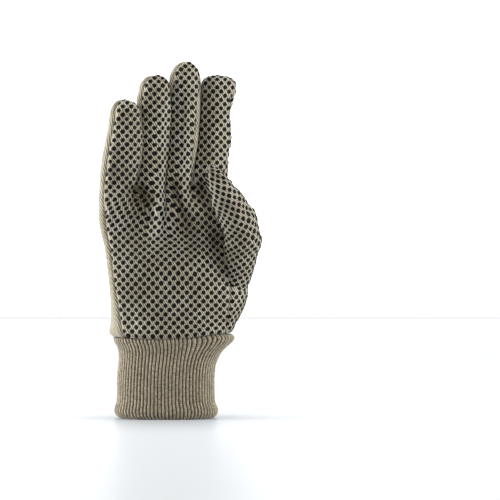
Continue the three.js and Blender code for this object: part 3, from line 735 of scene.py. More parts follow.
def from_gather(gather: dict[str, float], x: np.ndarray, z: np.ndarray) -> tuple[np.ndarray, np.ndarray]:
    """How far places lie beside a gather's line and beyond its ends, in mm.

    Args:
        gather: A row of the table of gathers.
        x: Places across in mm.
        z: Heights in mm.

    Returns:
        The distances beside it, below nought to the left, and those beyond it.
    """
    tall = gather["high"] - gather["low"]
    share = np.clip((z - gather["low"]) / tall, 0, 1)
    beside = x - gather["low_x"] - (gather["high_x"] - gather["low_x"]) * share
    return beside, z - gather["low"] - tall * share


def drawn_cloth(points: np.ndarray) -> np.ndarray:
    """How far gathers draw the cloth along itself, so that its pattern lies closer there.

    Args:
        points: Places on the palm panel in mm.

    Returns:
        Shifts across and along the cut, in mm.
    """
    x, z = points[..., 0], points[..., 2]
    rise = (z - PALM_BAND["height"]) / PALM_BAND["tall"]
    along = PALM_BAND["draw"] * rise * hill(rise, 1) * hill(x - PALM_BAND["x"], PALM_BAND["wide"])
    across = np.zeros(x.shape)
    for gather in GATHERS:
        beside, beyond = from_gather(gather, x, z)
        side = beside / gather["wide"]
        across += gather["draw"] * side * hill(side, 1) * hill(beyond, DRAW_FADE)
    return np.stack([across, along], axis=-1)


def grid_normals(points: np.ndarray, patches: list[Patch]) -> np.ndarray:
    """Directions out of the skin at each vertex, from the quads of all the patches.

    Args:
        points: The skin's places.
        patches: Its grids.

    Returns:
        Unit vectors, shape (vertices, 3).
    """
    normals = np.zeros_like(points)
    for patch in patches:
        a, b, c, d = (points[patch.numbers[corner]] for corner in CORNERS)
        normal = np.cross(c - a, d - b)
        for corner in CORNERS:
            np.add.at(normals, patch.numbers[corner].ravel(), normal.reshape(-1, 3))
    length = np.linalg.norm(normals, axis=1, keepdims=True)
    return normals / np.maximum(length, 1e-9)


# Where the hand is pulled up at the thumb and slack in the middle, and how far up and down that reaches, in mm
HEM_PULL = {"rise": 2.6, "from_x": 10, "to_x": 44}
HEM_SLACK = {"drop": 0.8, "x": -8, "wide": 20}
HEM_REACH = 15
# A seam's groove, and the puffs of cloth on both sides of it, in mm
GROOVE_WIDE = 1.25
PUFF_AWAY = 3.2
PUFF_WIDE = 1.9
# How unevenly a seam puckers, how far apart its puckers are in mm, and the girth of a full seam in mm: a tip
# that is narrower has a shallower one
PUCKER = 0.35
PUCKER_SIZE = 3.4
FULL_GIRTH = 34


def hem_lift(points: np.ndarray) -> np.ndarray:
    """How far the seam between hand and cuff lifts the cloth: up at the thumb, slack in the middle.

    Args:
        points: Places near the seam in mm.

    Returns:
        The lift of each place, below nought where it hangs lower.
    """
    x, z = points[..., 0], points[..., 2]
    pulled = HEM_PULL["rise"] * eased(x, HEM_PULL["from_x"], HEM_PULL["to_x"])
    slack = HEM_SLACK["drop"] * hill(x - HEM_SLACK["x"], HEM_SLACK["wide"])
    return (pulled - slack) * hill(z - CUFF_HEIGHT, HEM_REACH)


@dataclass(frozen=True)
class Seam:
    """A seam's depth and its puffs' height in mm, and the share of the grid's height where it has set in."""

    depth: float
    puff: float
    sets_in: float = 0.0


def seam_dent(distance: np.ndarray, seam: Seam) -> np.ndarray:
    """A seam's groove with the cloth puffed up on both sides of it, in mm."""
    return seam.puff * hill(distance - PUFF_AWAY, PUFF_WIDE) - seam.depth * hill(distance, GROOVE_WIDE)


# The seam's stiff end, which stands out as a corner beside the forefinger's tip: place, rise and width in mm
CORNER = np.array([48.2, 10.0, 243.6])
CORNER_RISE = 2.4
CORNER_WIDE = 3.0
# The depth in mm of a crease whose hollow gets the most painted shade, and how much painted light rising cloth and
# gathers get
HOLLOW_DEPTH = 6.0
RISE_PAINTED_LIGHT = 0.25
RIDGE_PAINTED_LIGHT = 0.45
# How far over the back's thumb side the threads follow its front edge, from 0, not at all, to 1
THREADS_LEAN = 0.75
# The unevenness of worn cloth: heights in mm and the sizes of their bumps in mm, one or along each axis
SOFT_BUMPS = ((0.55, 17), (0.28, (7, 7, 15)), (0.12, 4.2))
HAND_WRINKLES = (0.3, (4.5, 4.5, 26))
FINGER_WRINKLES = (0.3, (16, 16, 4.5))
THUMB_FOLDS = ((1.2, 12), (1.1, (11, 11, 5.5)), (0.25, 4))


def uneven(points: np.ndarray, *bumps: tuple[float, float | tuple[float, float, float]]) -> np.ndarray:
    """Layers of smooth noise at points, in mm; each of bumps is a height and a size."""
    return sum(height * NOISE.at(points, size) for height, size in bumps)


def seam_strength(line: np.ndarray, girth: np.ndarray) -> np.ndarray:
    """How deep a puckered seam is along its line, as a share, for the girth of the cloth around each place."""
    return (1 + PUCKER * NOISE.at(line, PUCKER_SIZE)) * np.clip(girth / FULL_GIRTH, 0, 1)


class HandSkin:
    """The skin of the hand and fingers as grids of cloth with shared vertices.

    points are in mm and normals point out of the skin. offset is how far each point moves out in mm,
    painted_shading how much painted shade the cloth gets there, below nought painted light, and patches are the
    panels' grids.
    """

    AROUND = (*((Side.FRONT, f) for f in range(4)), (Side.RIGHT, LAST),
              *((Side.BACK, f) for f in (3, 2, 1, 0)), (Side.LEFT, 0))
    ORDER = (Side.FRONT, Side.RIGHT, Side.BACK, Side.LEFT)

    def __init__(self, form: GloveForm) -> None:
        """Makes the grids, their flat maps, and the seams, puffs and wrinkles.

        Args:
            form: The glove's form.
        """
        self.form = form
        self.points = np.zeros((0, 3))
        self.offset = np.zeros(0)
        self.patches: list[Patch] = []
        self.webs: dict[int, np.ndarray] = {}
        self.web_normals: dict[int, np.ndarray] = {}
        self._make_hand()
        for finger in range(len(FINGERS)):
            self._make_finger(finger)
        self.normals = self._normals()
        self._wrinkle()

    def _normals(self) -> np.ndarray:
        """Directions out of the skin. A web's own are given, as its two sides face each other.

        Returns:
            Unit vectors, shape (vertices, 3).
        """
        normals = grid_normals(self.points, self.patches)
        for number, normal in self.web_normals.items():
            normals[number] = normal
        return normals

    def _add(self, points: np.ndarray) -> np.ndarray:
        """Adds points.

        Args:
            points: The points, shape (..., 3).

        Returns:
            Their numbers, in the same shape without its last axis.
        """
        first = len(self.points)
        self.points = np.concatenate([self.points, points.reshape(-1, 3)])
        self.offset = np.concatenate([self.offset, np.zeros(points.size // 3)])
        return np.arange(first, len(self.points)).reshape(points.shape[:-1])

    @staticmethod
    def _across(side: Side) -> np.ndarray:
        """Shares of the way over a side for its columns, without its end."""
        count = FACE_COLUMNS if side in (Side.FRONT, Side.BACK) else SIDE_COLUMNS
        return np.arange(count) / count

    @staticmethod
    def _panel(side: Side, finger: int) -> str:
        """The cloth piece that a side of a finger belongs to.

        Args:
            side: The side.
            finger: The finger.

        Returns:
            The panel's name.
        """
        if side is Side.FRONT:
            return "palm_panel"
        return ("outer_back_panel", "outer_back_panel", "middle_back_panel", "forefinger_back_panel")[finger]

    def _make_hand(self) -> None:
        """The hand's grid, from the cuff to the crotches."""
        rows = math.ceil(HAND_HEIGHT / ROW_STEP)
        up = np.arange(rows + 1) / rows
        blocks = [self.form.hand_with_roots(up, side, finger, self._across(side)) for side, finger in self.AROUND]
        ring = self._add(np.concatenate(blocks, axis=1))
        ring = np.concatenate([ring, ring[:, :1]], axis=1)
        starts = np.cumsum([0, *(block.shape[1] for block in blocks)])
        self.start = {key: int(s) for key, s in zip(self.AROUND, starts)}
        self.ring = ring
        end = ring.shape[1] - 1
        right, back = self.start[Side.RIGHT, LAST], self.start[Side.BACK, LAST]
        middle_back, outer_back = self.start[Side.BACK, 2], self.start[Side.BACK, 1]
        half = FACE_COLUMNS // 2
        strips = (("palm_panel", 0, right, 2 * FACE_COLUMNS, None),
                  ("forefinger_back_panel", right, middle_back, back + half, right),
                  ("middle_back_panel", middle_back, outer_back, middle_back + half, None),
                  ("outer_back_panel", outer_back, end, self.start[Side.BACK, 0], end))
        self.top_cloth = np.zeros((ring.shape[1], 2))
        for panel, low, high, spine, front in strips:
            numbers = ring[:, low : high + 1]
            cloth = cloth_map(self.points[numbers], spine - low, 1 if low == 0 else -1)
            if front is not None:
                # The threads lean where the hand flares, less so beside the palm than at the back.
                ahead = cloth_map(self.points[numbers], front - low, 1)
                ahead[..., 0] += cloth[0, front - low, 0] - ahead[0, front - low, 0]
                cloth += THREADS_LEAN * (ahead - cloth)
            if panel == "palm_panel":
                cloth = cloth + drawn_cloth(self.points[numbers])
            self.patches.append(Patch(panel, numbers, cloth))
            self.top_cloth[low : high + 1] = cloth[-1]
        self._dent_seams(ring, up, {0: Seam(1.1, 0.55), right: Seam(1.2, 0.5), middle_back: Seam(1.0, 0.5),
                                    outer_back: Seam(0.55, 0.75)})
        # The seam to the cuff: a narrow groove, with a puff above it.
        hem = up * HAND_HEIGHT
        self.offset[ring] += (0.7 * hill(hem - 4.0, 3.0) - 1.1 * hill(hem, 1.2))[:, None]

    def _dent_seams(self, ring: np.ndarray, up: np.ndarray, seams: dict[int, Seam]) -> None:
        """Presses grooves along columns of closed rings.

        Args:
            ring: Vertex numbers, the first column repeated at the end.
            up: Shares of the grid's height.
            seams: The seam at each column.
        """
        points = self.points[ring]
        arcs = row_arcs(points)
        girth = arcs[:, -1:]
        for column, seam in seams.items():
            away = np.abs(arcs - arcs[:, column : column + 1])
            away = np.minimum(away, girth - away)
            strength = seam_strength(points[:, column], girth[:, 0])
            if seam.sets_in:
                strength = strength * eased(up, 0, seam.sets_in)
            dent = strength[:, None] * seam_dent(away, seam)
            self.offset[ring[:, :-1]] += dent[:, :-1]

    def _make_finger(self, finger: int) -> None:
        """One finger's grid, growing from the hand's top row and the webs beside it.

        Args:
            finger: Its number from the little finger.
        """
        spec = FINGERS[finger]
        up = cap_heights(spec.length, spec.sections.knots[-1], spec.square)[1:]
        blocks = [self.form.finger(finger, up, side, self._across(side)) for side in self.ORDER]
        grid = np.concatenate(blocks, axis=1)
        own = self._add(grid[:-1])
        pole = self._add(grid[-1:, :1])
        numbers = np.concatenate([self._bottom(finger)[None], own, np.repeat(pole, own.shape[1], axis=1)])
        ring = np.concatenate([numbers, numbers[:, :1]], axis=1)
        up = np.concatenate([[0.0], up])
        back = FACE_COLUMNS + SIDE_COLUMNS
        half = FACE_COLUMNS // 2
        front_place = self.top_cloth[self.start[Side.FRONT, finger] + half]
        back_place = self.top_cloth[self.start[Side.BACK, finger] + half]
        front, behind = ring[:, : FACE_COLUMNS + 1], ring[:, FACE_COLUMNS:]
        cloth = cloth_map(self.points[front], half, 1, tuple(front_place)) + drawn_cloth(self.points[front])
        cloth -= drawn_cloth(self.points[front[0, half]])
        self.patches.append(Patch("palm_panel", front, cloth))
        panel = self._panel(Side.BACK, finger)
        spine = back - FACE_COLUMNS + half
        self.patches.append(Patch(panel, behind, cloth_map(self.points[behind], spine, -1, tuple(back_place))))
        before = self.offset.copy()
        # A seam between two fingers sets in above their web.
        inner, outer = Seam(0.95, 0.5, 0.1), Seam(0.95, 0.5)
        self._dent_seams(ring, up, {0: inner if finger else outer, FACE_COLUMNS: inner if finger < LAST else outer})
        self.offset[ring[0]] = before[ring[0]]

    def _bottom(self, finger: int) -> np.ndarray:
        """A finger's lowest row: the hand's top row, and the webs to its neighbours.

        Args:
            finger: Its number from the little finger.

        Returns:
            Vertex numbers.
        """
        top = self.ring[-1]

        def part(side: Side) -> np.ndarray:
            """The hand's own columns of a side."""
            first = self.start[side, finger]
            return top[first : first + len(self._across(side))]

        right = part(Side.RIGHT) if finger == LAST else self._web(finger)
        left = part(Side.LEFT) if finger == 0 else self._web(finger - 1)[::-1]
        if finger < LAST:
            right = np.concatenate([[top[self.start[Side.FRONT, finger + 1]]], right])
        if finger > 0:
            left = np.concatenate([[top[self.start[Side.BACK, finger - 1]]], left])
        return np.concatenate([part(Side.FRONT), right, part(Side.BACK), left])

    def _web(self, finger: int) -> np.ndarray:
        """The web between a finger and the next, without its ends.

        Args:
            finger: Its number from the little finger.

        Returns:
            Vertex numbers.
        """
        if finger not in self.webs:
            across = self._across(Side.RIGHT)[1:]
            self.webs[finger] = self._add(self.form.finger(finger, np.zeros(1), Side.RIGHT, across)[0])
            ends = self.ring[-1][[self.start[Side.FRONT, finger + 1], self.start[Side.BACK, finger]]]
            line = [ends[0], *self.webs[finger], ends[1]]
            for i, number in enumerate(line):
                lean = math.copysign(1, 2 * i - len(line) + 1)
                self.web_normals[int(number)] = np.array([0, lean, 1]) / math.sqrt(2)
        return self.webs[finger]

    def _wrinkle(self) -> None:
        """Adds the soft unevenness of worn cloth and moves all the points by their offsets."""
        p = self.points
        fingers = eased(p[:, 2], CUFF_HEIGHT + HAND_HEIGHT, CUFF_HEIGHT + HAND_HEIGHT + 15)
        length_wise = uneven(p, HAND_WRINKLES) * (1 - 0.4 * fingers)
        cross_wise = uneven(p, FINGER_WRINKLES) * fingers
        # The stiff seam at the cuff keeps the cloth beside it smoother.
        calm = 1 - 0.6 * hill(p[:, 2] - CUFF_HEIGHT, 4)
        self.offset += (uneven(p, *SOFT_BUMPS) + length_wise + cross_wise) * calm
        up = (p[:, 2] - CUFF_HEIGHT - CROTCH_SLOPE * p[:, 0]) / HAND_HEIGHT
        facing = self.normals[:, 1]
        creases = np.where(facing < 0, fold_rise(PALM_CREASES, p[:, 0], up), fold_rise(BACK_CREASES, p[:, 0], up))
        self.offset += np.abs(facing) * creases * eased(up, 1.12, 1.0)
        # Painted shade in the creases' hollows and painted light on their rises, kept for the cloth's colour.
        self.painted_shading = np.clip(-creases / HOLLOW_DEPTH, -RISE_PAINTED_LIGHT, 1) * eased(up, 1.12, 1.0)
        for gather in GATHERS:
            beside, beyond = from_gather(gather, p[:, 0], p[:, 2])
            ridge = hill(beside, RIDGE_WIDE * gather["wide"]) * hill(beyond, RIDGE_FADE) * eased(-facing, 0.2, 0.7)
            self.offset += gather["rise"] * ridge
            # The gathers' ridges get painted light.
            self.painted_shading -= RIDGE_PAINTED_LIGHT * ridge
        self.offset += CORNER_RISE * hill(np.linalg.norm(p - CORNER, axis=-1), CORNER_WIDE)
        self.points[:, 2] += hem_lift(self.points)
        self.move(self.offset)

    def move(self, offset: np.ndarray) -> None:
        """Moves the points along their normals, except on the webs, and makes the normals again.

        Args:
            offset: How far each point moves, in mm.
        """
        still = np.ones(len(self.points))
        still[list(self.web_normals)] = 0
        self.points = self.points + self.normals * (offset * still)[:, None]
        self.normals = self._normals()


class ThumbSkin:
    """The thumb's tube as one grid of cloth, its seam on the side towards the palm's middle."""

    SEAM_ANGLE = 150
    SEAM = Seam(1.0, 0.6)
    # The tip's pleats: their number, their rise in mm, and the girth in mm above which they are full
    PLEATS = 9
    PLEAT_RISE = 0.55
    PLEATED_GIRTH = 40

    def __init__(self, form: GloveForm) -> None:
        """Makes the grid with its seam, puffs and wrinkles.

        Args:
            form: The glove's form.
        """
        up = cap_heights(THUMB_RISE, THUMB_SECTIONS.knots[-1], THUMB_TIP["square"])
        angle = math.radians(self.SEAM_ANGLE) + 2 * np.pi * np.arange(THUMB_COLUMNS) / THUMB_COLUMNS
        grid = form.thumb(up, angle)
        self.points = np.concatenate([grid[:-1].reshape(-1, 3), grid[-1:, :1].reshape(-1, 3)])
        rows = len(up) - 1
        numbers = np.arange(rows * THUMB_COLUMNS).reshape(rows, THUMB_COLUMNS)
        numbers = np.concatenate([numbers, np.full((1, THUMB_COLUMNS), rows * THUMB_COLUMNS)])
        ring = np.concatenate([numbers, numbers[:, :1]], axis=1)
        self.patches = [Patch("thumb", ring, tube_map(self.points[ring], THUMB_COLUMNS // 2))]
        self.normals = grid_normals(self.points, self.patches)
        p = self.points
        arcs = row_arcs(p[ring])
        girth = arcs[:, -1]
        away = np.minimum(arcs, girth[:, None] - arcs)
        offset = np.zeros(len(p))
        offset[ring] = seam_strength(p[ring[:, 0]], girth)[:, None] * seam_dent(away, self.SEAM)
        # The tip is gathered into its seam in small pleats.
        pleat = np.cos(self.PLEATS * np.linspace(0, 2 * np.pi, THUMB_COLUMNS + 1))
        gathers = np.zeros(len(p))
        strength = self.PLEAT_RISE * eased(up, 0.75, 1) * np.clip(girth / self.PLEATED_GIRTH, 0, 1)
        gathers[ring] = strength[:, None] * pleat[None]
        risen = (p[:, 2] - p[:, 2].min()) / THUMB_RISE
        offset += gathers + uneven(p, *THUMB_FOLDS) * eased(risen, 0.1, 0.4)
        # The thumb gets no painted shade or light.
        self.painted_shading = np.zeros(len(p))
        self.move(offset)

    def move(self, offset: np.ndarray) -> None:
        """Moves the points along their normals and makes the normals again."""
        self.points = self.points + self.normals * offset[:, None]
        self.normals = grid_normals(self.points, self.patches)


def tree_of(points: np.ndarray, patches: list[Patch]) -> BVHTree:
    """A search tree over the outer faces of patches."""
    quads = np.concatenate([patch.quads()[0] for patch in patches])
    return BVHTree.FromPolygons([Vector(p) for p in points], quads.tolist())


def signed_distances(points: np.ndarray, tree: BVHTree, reach: float) -> np.ndarray:
    """Distances from a closed skin, below nought inside it, and reach where it is farther away.

    Args:
        points: Places in mm.
        tree: The skin's faces, turned outwards.
        reach: The farthest distance that matters.

    Returns:
        One distance for each place.
    """
    found = np.full(len(points), reach)
    for i, point in enumerate(points):
        place, normal, _, distance = tree.find_nearest(Vector(point), 4 * reach)
        if place is not None:
            inside = (Vector(point) - place).dot(normal) < 0
            found[i] = -distance if inside else distance
    return found


# How near in mm the other skin has to be to count, where on the hand the thumb can reach, between which heights
# their join turns from smooth cloth into a sewn groove, how wide that is, and how deep hidden cloth goes on
JOIN_REACH = 9.0
THUMB_SIDE_X = 15
SEWN_FROM, SEWN_FULL = 98, 118
SEWN_WIDE = 8
JOIN_SEAM = Seam(1.0, 0.35)
HIDDEN_DEPTH = 2.2


def join_thumb(hand: HandSkin, thumb: ThumbSkin) -> tuple[np.ndarray, np.ndarray]:
    """Sews the thumb into the palm: a groove where they meet, and no cloth where one is inside the other.

    Args:
        hand: The hand's skin.
        thumb: The thumb's skin.

    Returns:
        Each hand point's distance out of the thumb, and each thumb point's distance out of the hand.
    """
    hand_patches = [patch for patch in hand.patches if patch.panel in ("palm_panel", "forefinger_back_panel")][:2]
    distance_to_thumb = np.full(len(hand.points), JOIN_REACH)
    numbers = np.unique(np.concatenate([patch.numbers.ravel() for patch in hand_patches]))
    near = numbers[hand.points[numbers, 0] > THUMB_SIDE_X]
    distance_to_thumb[near] = signed_distances(hand.points[near], tree_of(thumb.points, thumb.patches), JOIN_REACH)
    distance_to_hand = signed_distances(thumb.points, tree_of(hand.points, hand_patches), JOIN_REACH)
    for skin, distances in ((hand, distance_to_thumb), (thumb, distance_to_hand)):
        sewn = eased(skin.points[:, 2], SEWN_FROM, SEWN_FULL) * (np.abs(distances) < SEWN_WIDE)
        skin.move(seam_dent(np.abs(distances), JOIN_SEAM) * sewn)
    for patch, distances in (*((p, distance_to_thumb) for p in hand_patches), (thumb.patches[0], distance_to_hand)):
        outermost = np.max([distances[patch.numbers[corner]] for corner in CORNERS], axis=0)
        patch.keep = outermost > -HIDDEN_DEPTH
    return distance_to_thumb, distance_to_hand


def linear(colour: str) -> tuple[float, float, float, float]:
    """An sRGB hex colour as linear red, green, blue and full alpha."""
    parts = [int(colour[i : i + 2], 16) / 255 for i in (1, 3, 5)]
    return (*(p / 12.92 if p <= 0.04045 else ((p + 0.055) / 1.055) ** 2.4 for p in parts), 1.0)


def new_material(name: str) -> tuple[bpy.types.Material, bpy.types.Node]:
    """Makes a material.

    Args:
        name: The material's name.

    Returns:
        The material and the shader's node.
    """
    material = bpy.data.materials.new(name)
    material.use_nodes = True
    return material, material.node_tree.nodes["Principled BSDF"]


def feed(node: bpy.types.Node, inputs: dict) -> None:
    """Sets or links a node's inputs.

    Args:
        node: The node.
        inputs: For each input's name or number, a value or the output that feeds it.
    """
    for name, value in inputs.items():
        if isinstance(value, bpy.types.NodeSocket):
            node.id_data.links.new(value, node.inputs[name])
        else:
            node.inputs[name].default_value = value


def add_node(material: bpy.types.Material, kind: str, *inputs: object, out: int | str = 0,
             **settings: object) -> bpy.types.NodeSocket:
    """Adds a shader node with its settings and links.

    Args:
        material: The material it goes into.
        kind: The node's type, without the word ShaderNode.
        inputs: Values, or outputs that feed it, for its inputs in order. A dict gives them by name or number.
        out: The output to give back, by name or number.
        settings: The node's own properties.

    Returns:
        That output.
    """
    node = material.node_tree.nodes.new(f"ShaderNode{kind}")
    for name, value in settings.items():
        setattr(node, name, value)
    for i, value in enumerate(inputs):
        feed(node, value if isinstance(value, dict) else {i: value})
    return node.outputs[out]


@dataclass(frozen=True)
class Twill:
    """Cotton twill: warp yarns side by side, each floating over the weft in steps that make diagonal lines."""

    # To the eye: cream yarn in fine slanting ridges with painted shade in the steps between them, dull and a little
    # fuzzy.
    name: str
    light: str = "#e6e0cf"
    dark_yarn_and_shade: str = "#665d46"
    faded: str = "#e9e4d8"
    # The painted shade in the creases' hollows and the painted light on their ridges
    painted_shade_tint: str = "#aea38e"
    painted_highlight: str = "#f3eee1"
    # A coarse drill: yarns 0.55 mm apart that float every 3.1 mm, which gives lines 1.46 mm apart. Fine drill has
    # yarns 0.4 mm apart, whose lines would be too fine to show.
    yarn: float = 0.55
    float_length: float = 3.1
    # Yarns after which the steps repeat, and the share of its float that a yarn lies on top
    repeat: float = 3.0
    on_top: float = 0.74
    relief_height: float = 0.0004
    # How much each layer lightens the yarn, and what is taken off for all of them together
    relief_tone: float = 0.7
    slub_tone: float = 0.5
    line_tone: float = 0.6
    fibre_tone: float = 0.3
    mottle_tone: float = 0.4
    base_tone: float = -0.72

    def make(self) -> bpy.types.Material:
        """Makes it: yarn relief, painted groove shade, slubs, soft patches, painted shade and light on the creases,
        and a cotton bloom.

        Returns:
            The material.
        """
        material, surface = new_material(self.name)
        add = partial(add_node, material)
        # The map is in mm, so each Scale is bumps per mm.
        cloth = add("UVMap", uv_map="cloth")
        wander = add("TexNoise", {"Vector": cloth, "Scale": 0.35, "Detail": 2.0}, out="Color")
        shift = add("VectorMath", wander, (0.5, 0.5, 0.5), operation="SUBTRACT")
        place = add("VectorMath", shift, (0.7, 0.7, 0.0), cloth, operation="MULTIPLY_ADD")
        across = add("SeparateXYZ", place)
        along = across.node.outputs["Y"]
        # Round yarn sections: the relief that grazing light picks out.
        count = add("Math", across, self.yarn, operation="DIVIDE")
        turn = add("Math", add("Math", count, operation="FRACT"), math.pi, operation="MULTIPLY")
        round_yarn = add("Math", add("Math", turn, operation="SINE"), 0.6, operation="POWER")
        # Each yarn comes up a step later than the one beside it.
        floats = add("Math", along, self.float_length, operation="DIVIDE")
        late = add("Math", add("Math", count, operation="FLOOR"), self.repeat, operation="DIVIDE")
        share = add("Math", add("Math", floats, late, operation="ADD"), operation="FRACT")
        share = add("Math", add("Math", share, self.on_top, operation="DIVIDE"), 1.0, operation="MINIMUM")
        over = add("Math", add("Math", share, math.pi, operation="MULTIPLY"), operation="SINE")
        over = add("Math", over, 0.7, 0.3, operation="MULTIPLY_ADD")
        relief = add("Math", round_yarn, over, operation="MULTIPLY")
        # Slubs: thick and thin stretches along single yarns, lighter and darker.
        yarn_place = add("VectorMath", place, (2.4, 0.16, 1.0), operation="MULTIPLY")
        slubs = add("TexNoise", {"Vector": yarn_place, "Scale": 1.0, "Detail": 3.0})
        patches = add("TexNoise", {"Vector": cloth, "Scale": 0.045, "Detail": 4.0})
        fibres = add("TexNoise", {"Vector": cloth, "Scale": 3.2, "Detail": 4.0, "Roughness": 0.7})
        mottle = add("TexNoise", {"Vector": cloth, "Scale": 0.55, "Detail": 2.0})
        # The floats side by side make raised diagonal lines.
        slant = add("Math", across, self.repeat * self.yarn, operation="DIVIDE")
        slant = add("Math", add("Math", floats, slant, operation="ADD"), operation="FRACT")
        line = add("Math", add("Math", slant, 0.5, operation="SUBTRACT"), operation="ABSOLUTE")
        line = add("MapRange", line, 0.42, 0.08, interpolation_type="SMOOTHSTEP")
        # The yarn relief and the raised lines paint the yarn lighter on top and darker between: painted shade.
        tone = self.base_tone
        for layer, lightens in ((relief, self.relief_tone), (slubs, self.slub_tone), (line, self.line_tone),
                                (fibres, self.fibre_tone), (mottle, self.mottle_tone)):
            tone = add("Math", layer, lightens, tone, operation="MULTIPLY_ADD")
        colour = add("Mix", {0: tone, 6: linear(self.dark_yarn_and_shade), 7: linear(self.light)}, out=2, data_type="RGBA")
        # Large patches are a little faded; the hollows of the creases get painted shade.
        white = linear("#ffffff")
        patches = add("MapRange", patches, 0.35, 0.7, interpolation_type="SMOOTHSTEP")
        painted_shading = add("Attribute", out="Fac", attribute_name="painted_shading")
        for where, low, high in ((patches, linear(self.faded), white), (painted_shading, white, linear(self.painted_shade_tint))):
            tint = add("Mix", {0: where, 6: low, 7: high}, out=2, data_type="RGBA")
            colour = add("Mix", {0: 1.0, 6: colour, 7: tint}, out=2, data_type="RGBA", blend_type="MULTIPLY")
        # Painted light makes the ridges and gathers pale.
        painted_highlight = add("Math", add("Math", painted_shading, -0.6, operation="MULTIPLY"), 0.0, operation="MAXIMUM")
        colour = add("Mix", {0: painted_highlight, 6: colour, 7: linear(self.painted_highlight)}, out=2, data_type="RGBA")
        height = add("Math", fibres, 0.25, relief, operation="MULTIPLY_ADD")
        height = add("Math", line, 0.6, height, operation="MULTIPLY_ADD")
        bump = add("Bump", {"Height": height, "Distance": self.relief_height, "Strength": 1.0})
        # Dull, with a little fuzz, which lightens the cloth where it turns away.
        feed(surface, {"Base Color": colour, "Normal": bump, "Roughness": 0.92, "Specular IOR Level": 0.25,
                       "Sheen Weight": 0.22, "Sheen Roughness": 0.55})
        return material


@dataclass(frozen=True)
class HeatherKnit:
    """Heather rib knit: chains of stitches on each rib, mixed light and dark fibres, and a few coloured flecks."""

    # To the eye: soft tan ribs speckled with brown, with painted shade nearly black in the grooves, and no shine.
    name: str
    light: str = "#b5a78b"
    dark_yarn_and_shade: str = "#120c04"
    brown_fleck: str = "#3c3026"
    slate_fleck: str = "#56606e"
    # The height of one stitch in mm
    stitch: float = 1.35
    relief_height: float = 0.0003
    # How much each layer lightens the yarn, and what is taken off for all of them together
    relief_tone: float = 0.25
    fibre_tone: float = 0.75
    mottle_tone: float = 0.55
    band_tone: float = 0.4
    base_tone: float = -0.34

    def make(self, pitch: float) -> bpy.types.Material:
        """The material for ribs of a pitch in mm.

        Args:
            pitch: The distance from rib to rib.

        Returns:
            The material.
        """
        material, surface = new_material(self.name)
        add = partial(add_node, material)
        # The map is in mm, so each Scale is bumps per mm.
        cloth = add("UVMap", uv_map="cloth")
        across = add("SeparateXYZ", cloth)
        stitches = add("Math", across.node.outputs["Y"], self.stitch, operation="DIVIDE")
        across = add("Math", add("Math", across, pitch, operation="DIVIDE"), operation="FRACT")
        off_middle = add("Math", add("Math", across, 0.5, operation="SUBTRACT"), operation="ABSOLUTE")
        # Each stitch is a V: its legs rise from the rib's middle to its sides.
        chain = add("Math", off_middle, 1.5, stitches, operation="MULTIPLY_ADD")
        turn = add("Math", add("Math", chain, operation="FRACT"), math.pi, operation="MULTIPLY")
        legs = add("Math", add("Math", turn, operation="SINE"), 0.7, operation="POWER")
        split = add("MapRange", off_middle, 0.0, 0.07, interpolation_type="SMOOTHSTEP")
        split = add("Math", split, 0.6, 0.4, operation="MULTIPLY_ADD")
        relief = add("Math", legs, split, operation="MULTIPLY")
        groove = add("MapRange", off_middle, 0.49, 0.2, interpolation_type="SMOOTHSTEP")
        fibre_place = add("VectorMath", cloth, (1.7, 0.8, 1.0), operation="MULTIPLY")
        fibres = add("TexNoise", {"Vector": fibre_place, "Scale": 1.2, "Detail": 5.0, "Roughness": 0.72})
        pale_fibres = add("MapRange", fibres, 0.34, 0.66, interpolation_type="SMOOTHSTEP")
        mottle = add("TexNoise", {"Vector": cloth, "Scale": 0.5, "Detail": 3.0, "Roughness": 0.65})
        mottle = add("MapRange", mottle, 0.3, 0.7, interpolation_type="SMOOTHSTEP")
        bands = add("TexNoise", {"Vector": cloth, "Scale": 0.11, "Detail": 3.0})
        tone = self.base_tone
        for layer, lightens in ((relief, self.relief_tone), (pale_fibres, self.fibre_tone),
                                (mottle, self.mottle_tone), (bands, self.band_tone)):
            tone = add("Math", layer, lightens, tone, operation="MULTIPLY_ADD")
        # Painted shade: the tone falls towards nearly black in the grooves between the ribs, and the stitches'
        # relief paints their tops lighter.
        tone = add("Math", tone, groove, operation="MULTIPLY")
        colour = add("Mix", {0: tone, 6: linear(self.dark_yarn_and_shade), 7: linear(self.light)}, out=2, data_type="RGBA")
        # Flecks of waste fibre: few cells, dark brown or slate blue, small and blurred at the edge.
        cell = add("TexVoronoi", {"Vector": fibre_place, "Scale": 0.75, "Randomness": 1.0}, out="Distance")
        lot = add("SeparateColor", cell.node.outputs["Color"])
        chosen = add("Math", lot, 0.93, operation="GREATER_THAN")
        spot = add("MapRange", cell, 0.42, 0.12, interpolation_type="SMOOTHSTEP")
        spot = add("Math", add("Math", chosen, spot, operation="MULTIPLY"), 0.75, operation="MULTIPLY")
        fleck = add("Mix", {0: lot.node.outputs["Green"], 6: linear(self.brown_fleck), 7: linear(self.slate_fleck)},
                    out=2, data_type="RGBA")
        colour = add("Mix", {0: spot, 6: colour, 7: fleck}, out=2, data_type="RGBA")
        height = add("Math", fibres, 0.5, relief, operation="MULTIPLY_ADD")
        bump = add("Bump", {"Height": height, "Distance": self.relief_height, "Strength": 0.9})
        feed(surface, {"Base Color": colour, "Normal": bump, "Roughness": 0.95, "Specular IOR Level": 0.2,
                       "Sheen Weight": 0.3, "Sheen Roughness": 0.6})
        return material


